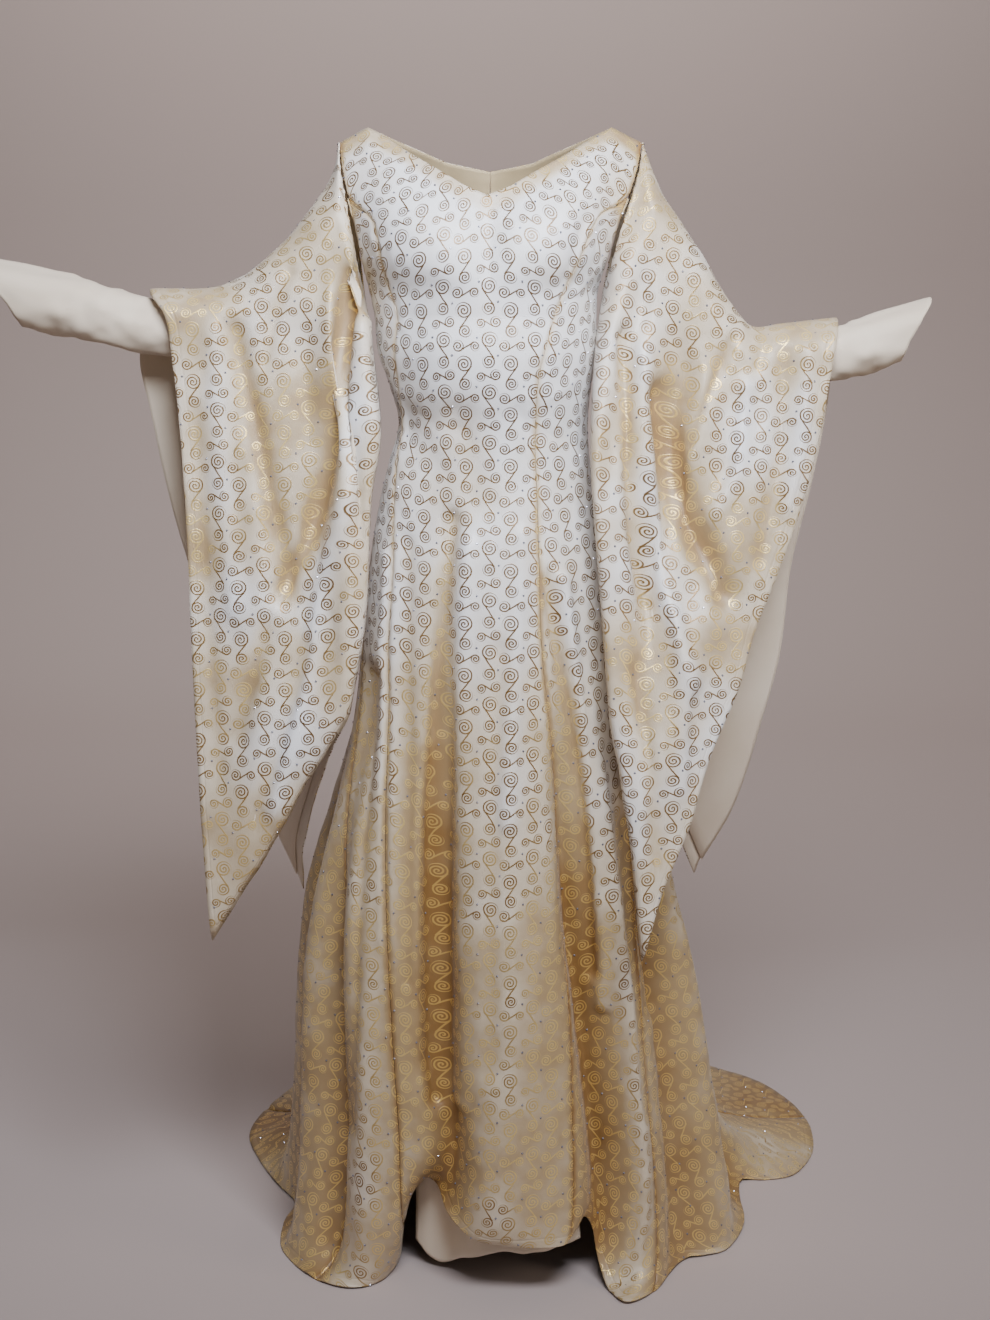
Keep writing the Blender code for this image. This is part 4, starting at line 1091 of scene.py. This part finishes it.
def finish_sleeve(side):
    places, layers = sleeve_places(side, 0.0, 1.0, SLEEVE_COLUMNS, SLEEVE_ROWS)
    normals = grid_normals(places)
    front = normals[SLEEVE_COLUMNS // 2, int(SLEEVE_ROWS * 1.6)]
    normals *= -1.0 if front[1] > 0 else 1.0
    creases = SLEEVE_CREASES[side]
    x, z = places[:, :, 0], places[:, :, 2]
    push = crease_push(creases, x, z) * (layers < 0)
    shift = -BACK_SHIFT if side == "left" else BACK_SHIFT
    push += crease_push(creases, x, z, shift) * (layers > 0) * BACK_CREASE_SHARE
    across = lengths_along(places, 1)
    seam = np.minimum(across, across[:, -1:] - across)
    rim = lengths_along(places, 0)
    sewn = (np.linspace(0.0, 1.0, SLEEVE_COLUMNS + 1) < SEAM_SHARE)[:, None]
    hold = 1.0 - np.exp(-(rim / 0.020) ** 2)
    hold *= np.where(sewn, 1.0 - np.exp(-(seam / 0.025) ** 2), 1.0)
    top = np.exp(-((across - across[:, SLEEVE_ROWS:SLEEVE_ROWS + 1]) / TOP_REACH) ** 2)
    push *= hold * (1.0 - top)
    soft = (uneven(places, 0.050, 0.0022, 4.0) + uneven(places, 0.018, 0.0006, 7.0)) * hold
    puckers = PUCKER * np.sin(across * 2 * math.pi / PUCKER_PERIOD) * np.exp(-rim / PUCKER_REACH)
    moved = places + normals * (push + soft + puckers)[:, :, None]
    hang = np.abs(across - across[:, SLEEVE_ROWS:SLEEVE_ROWS + 1])
    flat = np.stack([x, z[:, SLEEVE_ROWS:SLEEVE_ROWS + 1] - hang], axis=2)
    flat += np.where(layers[:, :, None] > 0, LAYER_SHIFT, 0.0)
    # Painted shade in the sleeve's creases and painted light on its ridges, over an even level of painted
    # shade, with random clouds of tone
    deep = np.clip(-push / 0.016, -0.5, 1.0)
    cloud = uneven(places, 0.110, SLEEVE_CLOUD, 33.0)
    painted_shade_and_tone = np.clip(SLEEVE_PAINTED_SHADE + deep * SLEEVE_FOLD_PAINTED_SHADE + cloud, 0.0, 1.0)
    loose = np.where(sewn, 1.0, seam)
    edge = np.minimum(loose, rim[-1:] - rim)
    piece = cloth_from_grid("cloth_sleeve_" + side, moved, flat, painted_shade_and_tone, sleeve_outward, edge)
    give_thickness(piece, CLOTH, brocade, crepe)
    return piece, moved, flat


def finish_sleeve_lining(side):
    creases = SLEEVE_CREASES[side]
    shift = -BACK_SHIFT if side == "left" else BACK_SHIFT
    rows = LINING_ROWS_LONG
    lining, layers = sleeve_places(side, LINING_START, LINING_END, LINING_COLUMNS_LONG, rows)
    inward = grid_normals(lining)
    front = inward[LINING_COLUMNS_LONG // 2, int(rows * 1.6)]
    inward *= -1.0 if front[1] > 0 else 1.0
    x, z = lining[:, :, 0], lining[:, :, 2]
    push = crease_push(creases, x, z) * (layers < 0)
    push += crease_push(creases, x, z, shift) * (layers > 0) * BACK_CREASE_SHARE
    across = lengths_along(lining, 1)
    top = np.exp(-((across - across[:, rows:rows + 1]) / TOP_REACH) ** 2)
    push *= 1.0 - top
    lining = lining + inward * (np.minimum(push, 0.0) - LINING_INSET)[:, :, None]
    flat = np.stack([x, z], axis=2)
    blank = np.zeros_like(x)
    inner = cloth_from_grid("lining_sleeve_" + side, lining, flat, blank, sleeve_outward, blank)
    give_thickness(inner, LINING_CLOTH, crepe, crepe)
    return inner, lining


sleeves = {}
for side in ("left", "right"):
    sleeves[side] = (*finish_sleeve(side), *finish_sleeve_lining(side))
    print("made the", side, "sleeve with", len(sleeves[side][0].data.polygons), "faces")

# %% [markdown]
# The undersleeves are narrow tubes of ivory crepe. Each ends in a point over the hand, and
# the cloth is pushed up a little, so it lies in shallow rings along the forearm.

# %% Make the undersleeves
ARM_COLUMNS = 96
ARM_AROUND = 64
RING_FOLD = 0.0042
UNDERSLEEVE_CLOTH = 0.0012


def arm_rows(side):
    top = SLEEVE[side]["top"]
    rows = []
    for share, radius, room in ARM_IN_SLEEVE[side]:
        ahead = along_path(top, min(share + 0.02, 1.0)) - along_path(top, max(share - 0.02, 0.0))
        under = Vector((ahead.z, 0.0, -ahead.x)).normalized()
        under = under if under.z < 0 else -under
        place = along_path(top, share) + under * (radius + room)
        rows.append((place.x, place.z, radius))
    return rows + FOREARM[side]


def make_undersleeve(side):
    rows = arm_rows(side)
    path = [(x, 0.0, z) for x, z, radius in rows]
    lengths = [0.0]
    for a, b in zip(path, path[1:]):
        lengths.append(lengths[-1] + (Vector(b) - Vector(a)).length)
    radii = [(length, row[2]) for length, row in zip(lengths, rows)]
    places = np.zeros((ARM_COLUMNS + 1, ARM_AROUND + 1, 3))
    flat = np.zeros((ARM_COLUMNS + 1, ARM_AROUND + 1, 2))
    for i in range(ARM_COLUMNS + 1):
        share = i / ARM_COLUMNS
        centre = along_path(path, share)
        ahead = along_path(path, min(share + 0.02, 1.0)) - along_path(path, max(share - 0.02, 0.0))
        ahead.normalize()
        up = Vector((-ahead.z, 0.0, ahead.x))
        up = up if up.z > 0 else -up
        radius = smooth_rows(radii, share * lengths[-1])[0]
        past = (centre.x - CUFF_START[side]) / (rows[-1][0] - CUFF_START[side])
        slant = soften(past) * CUFF_POINT[side]
        for j in range(ARM_AROUND + 1):
            turn = 2 * math.pi * j / ARM_AROUND
            place = centre + ahead * slant * (0.5 + 0.5 * math.cos(turn)) ** CUFF_SHARPNESS
            wave = noise.noise(Vector((share * 9.0, math.cos(turn) * 1.4, math.sin(turn) * 1.4)))
            wave += 0.5 * noise.noise(Vector((share * 24.0, math.cos(turn) * 2.0, math.sin(turn) * 2.0)))
            around = radius + RING_FOLD * (wave - 0.6)
            place += up * around * math.cos(turn) + Vector((0.0, around * math.sin(turn), 0.0))
            places[i, j] = place
            flat[i, j] = (share * lengths[-1], turn * radius)
    axis = [Vector(p) for p in path]

    def outward(place):
        nearest = min(axis, key=lambda p: abs(p.x - place.x))
        return place - nearest

    blank = np.zeros((ARM_COLUMNS + 1, ARM_AROUND + 1))
    piece = cloth_from_grid("cloth_undersleeve_" + side, places, flat, blank, outward, blank)
    weld = piece.modifiers.new("seam", "WELD")
    weld.merge_threshold = 0.00005
    give_thickness(piece, UNDERSLEEVE_CLOTH, crepe, crepe)
    return piece, places


arms = {}
for side in ("left", "right"):
    arms[side] = make_undersleeve(side)
    print("made the", side, "undersleeve")

# %% [markdown]
# Below the front hem a stretch of the skirt's lining shows. It hangs behind the brocade and
# rumples near the floor.

# %% Make the skirt lining
LINING_COLUMNS = 60
LINING_ROWS = 90
LINING_BEHIND = 0.022


def make_skirt_lining():
    places = np.zeros((LINING_COLUMNS + 1, LINING_ROWS + 1, 3))
    for i in range(LINING_COLUMNS + 1):
        line = mix(-0.75, 1.0, i / LINING_COLUMNS)
        around = cloth_angle(line, LINING_TOP)
        x, y, rise = smooth_rows(LINING_HEM, line)
        low = Vector((x, y, FLOOR + LAYING_HEIGHT + rise))
        high = body("front", around, LINING_TOP) + Vector((0.0, LINING_BEHIND, 0.0))
        for j in range(LINING_ROWS + 1):
            share = j / LINING_ROWS
            place = high.lerp(low, share)
            place.y += LINING_TUCK * math.sin(math.pi * share)
            rumple = noise.noise(Vector((place.x * 28.0, 0.0, place.z * 9.0)))
            place.y += 0.006 * rumple * soften(share * 1.6 - 0.3)
            place.z += 0.004 * noise.noise(Vector((place.x * 40.0, 3.0, 0.0))) * share ** 6
            places[i, j] = place
    flat = places[:, :, [0, 2]]
    blank = np.zeros(places.shape[:2])
    piece = cloth_from_grid("lining_skirt", places, flat, blank, lambda p: Vector((0.0, -1.0, 0.0)), blank)
    give_thickness(piece, LINING_CLOTH, crepe, crepe)
    return piece, places


skirt_lining, lining_places = make_skirt_lining()
print("made the skirt lining")

# %% [markdown]
# Stones. Two small rhinestones are glued into every repeat of the pattern. Each is a faceted
# cone with a flat table, 3 mm across. All the stones of one panel are one mesh.

# %% Make the stones
STONE_WIDTH = 0.0029
STONE_HEIGHT = 0.0011
STONE_PLACES = [(10.5, 20.6), (-14.7, 59.0)]


def stone_spots(places, flat):
    """Places and normals of the stones on a cloth, by its UV grid."""
    normals = grid_normals(places)
    spots = {}
    u, v = flat[:, :, 0] * 1000.0 / PATTERN_SCALE, -flat[:, :, 1] * 1000.0 / PATTERN_SCALE
    corners_u = np.stack([u[:-1, :-1], u[1:, :-1], u[:-1, 1:], u[1:, 1:]])
    corners_v = np.stack([v[:-1, :-1], v[1:, :-1], v[:-1, 1:], v[1:, 1:]])
    for x, y in STONE_PLACES:
        first_u = np.ceil((corners_u.min(0) - x) / REPEAT[0])
        last_u = np.floor((corners_u.max(0) - x) / REPEAT[0])
        first_v = np.ceil((corners_v.min(0) - y) / REPEAT[1])
        last_v = np.floor((corners_v.max(0) - y) / REPEAT[1])
        for i, j in zip(*np.nonzero((last_u >= first_u) & (last_v >= first_v))):
            spot = (places[i:i + 2, j:j + 2].mean(axis=(0, 1)), normals[i, j])
            spots.setdefault((x, first_u[i, j], first_v[i, j]), spot)
    return list(spots.values())


def stone_material():
    # Acrylic rhinestone: clear, foiled behind, so it is dark from one side and flashes from another
    material, shader = new_material("acrylic rhinestone, foiled", Roughness=0.22, Metallic=0.6)
    shader.inputs["Base Color"].default_value = hex_colour("#8E8F9C")
    shader.inputs["Coat Weight"].default_value = 0.6
    return material


stones_finish = stone_material()


def make_stones(name, places, flat, away):
    form = bmesh.new()
    spots = stone_spots(places, flat)
    for place, normal in spots:
        up = Vector(normal)
        up = up if up.dot(away(Vector(place))) > 0 else -up
        turn = up.to_track_quat("Z", "Y").to_matrix().to_4x4()
        seat = Matrix.Translation(Vector(place) + up * STONE_HEIGHT * 0.5) @ turn
        bmesh.ops.create_cone(form, cap_ends=True, segments=8, radius1=STONE_WIDTH / 2,
                              radius2=STONE_WIDTH / 4, depth=STONE_HEIGHT, matrix=seat)
    mesh = bpy.data.meshes.new(name)
    form.to_mesh(mesh)
    form.free()
    mesh.materials.append(stones_finish)
    piece = bpy.data.objects.new(name, mesh)
    bpy.context.scene.collection.objects.link(piece)
    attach(piece, "root")
    print(name, "has", len(spots), "stones")
    return piece


# %% [markdown]
# Every piece is tied to the frame: it rides on the root body and stands for its solid.

# %% Tie the pieces to the frame
for name, (piece, places, flat) in body_cloth.items():
    stones = make_stones("stones_" + name, places, flat, body_outward)
    declare_cloth(piece, name)
for side, (piece, places, flat, inner, inner_places) in sleeves.items():
    stones = make_stones("stones_sleeve_" + side, places, flat, sleeve_outward)
    declare_cloth(piece, "sleeve_" + side)
    declare_cloth(inner, "sleeve_lining_" + side)
for side, (piece, places) in arms.items():
    declare_cloth(piece, "undersleeve_" + side)
declare_cloth(skirt_lining, "skirt_lining")

# %% [markdown]
# The stage is a pale paper sweep: a floor that rises into a wall with no corner, as a
# photographer hangs it.

# %% Stage
def sweep():
    form = bmesh.new()
    bmesh.ops.create_grid(form, x_segments=2, y_segments=60, size=1.0)
    start, bend, radius, height = -4.0, 3.2, 1.4, 3.6
    flat_run = bend - start
    arc = radius * math.pi / 2
    for v in form.verts:
        run = (v.co.y + 1) / 2 * (flat_run + arc + height)
        x = v.co.x * 6.0
        if run < flat_run:
            v.co = (x, start + run, FLOOR)
        elif run < flat_run + arc:
            turn = (run - flat_run) / radius
            v.co = (x, bend + radius * math.sin(turn), FLOOR + radius * (1 - math.cos(turn)))
        else:
            v.co = (x, bend + radius, FLOOR + radius + run - flat_run - arc)
    mesh = bpy.data.meshes.new("paper_sweep")
    form.to_mesh(mesh)
    form.free()
    mesh.shade_smooth()
    material, shader = new_material("background paper, mauve grey", Roughness=0.9)
    shader.inputs["Base Color"].default_value = hex_colour("#B6A9A5")
    mesh.materials.append(material)
    piece = bpy.data.objects.new("paper_sweep", mesh)
    bpy.context.scene.collection.objects.link(piece)


sweep()
print("the stage is in place")

# %% [markdown]
# Light and camera. A cool soft box hangs close in front, above the picture, so the chest is
# brightest. A warm one stands at the right, a weak one low at the left, one lights the paper
# and one the train. The camera has the photograph's place, tilt and lens.

# %% Light and camera
def soft_box(name, place, aim, size, power, colour, spread=180.0):
    light = bpy.data.lights.new(name, "AREA")
    light.shape = "RECTANGLE"
    light.size = size[0]
    light.size_y = size[1]
    light.energy = power
    light.spread = math.radians(spread)
    light.color = hex_colour(colour)[:3]
    lamp = bpy.data.objects.new(name, light)
    lamp.location = place
    lamp.rotation_euler = (Vector(aim) - Vector(place)).to_track_quat("-Z", "Y").to_euler()
    bpy.context.scene.collection.objects.link(lamp)


soft_box("key", (0.30, -1.45, 0.80), (0.0, -0.1, -0.10), (1.0, 0.6), 26.0, "#F3F6FF", 95.0)
soft_box("side", (2.3, -1.2, 0.1), (0.0, 0.0, -0.6), (0.8, 1.4), 12.0, "#FFEBD6")
soft_box("low", (-1.5, -2.2, -1.0), (0.0, 0.0, -0.9), (1.0, 0.6), 3.0, "#FFDDB8")
soft_box("wall", (0.0, 2.4, 2.5), (0.0, 4.6, 1.2), (3.4, 1.2), 100.0, "#FFF8F4")
soft_box("top", (0.0, 0.9, 2.3), (0.0, 0.5, -0.9), (1.6, 1.2), 12.0, "#FFF8F4")
world = bpy.data.worlds.new("room")
bpy.context.scene.world = world
world.use_nodes = True
world.node_tree.nodes["Background"].inputs["Color"].default_value = hex_colour("#D9D3D6")
world.node_tree.nodes["Background"].inputs["Strength"].default_value = 0.19

CAMERA_PLACE = (0.006, -2.40, -0.20)
CAMERA_TILT = 10.24
LENS = 54.44
camera_data = bpy.data.cameras.new("camera")
camera_data.sensor_fit = "VERTICAL"
camera_data.sensor_height = 36.0
camera_data.lens = LENS
camera = bpy.data.objects.new("camera", camera_data)
camera.location = CAMERA_PLACE
camera.rotation_euler = (math.radians(90.0 - CAMERA_TILT), 0.0, 0.0)
bpy.context.scene.collection.objects.link(camera)
bpy.context.scene.camera = camera
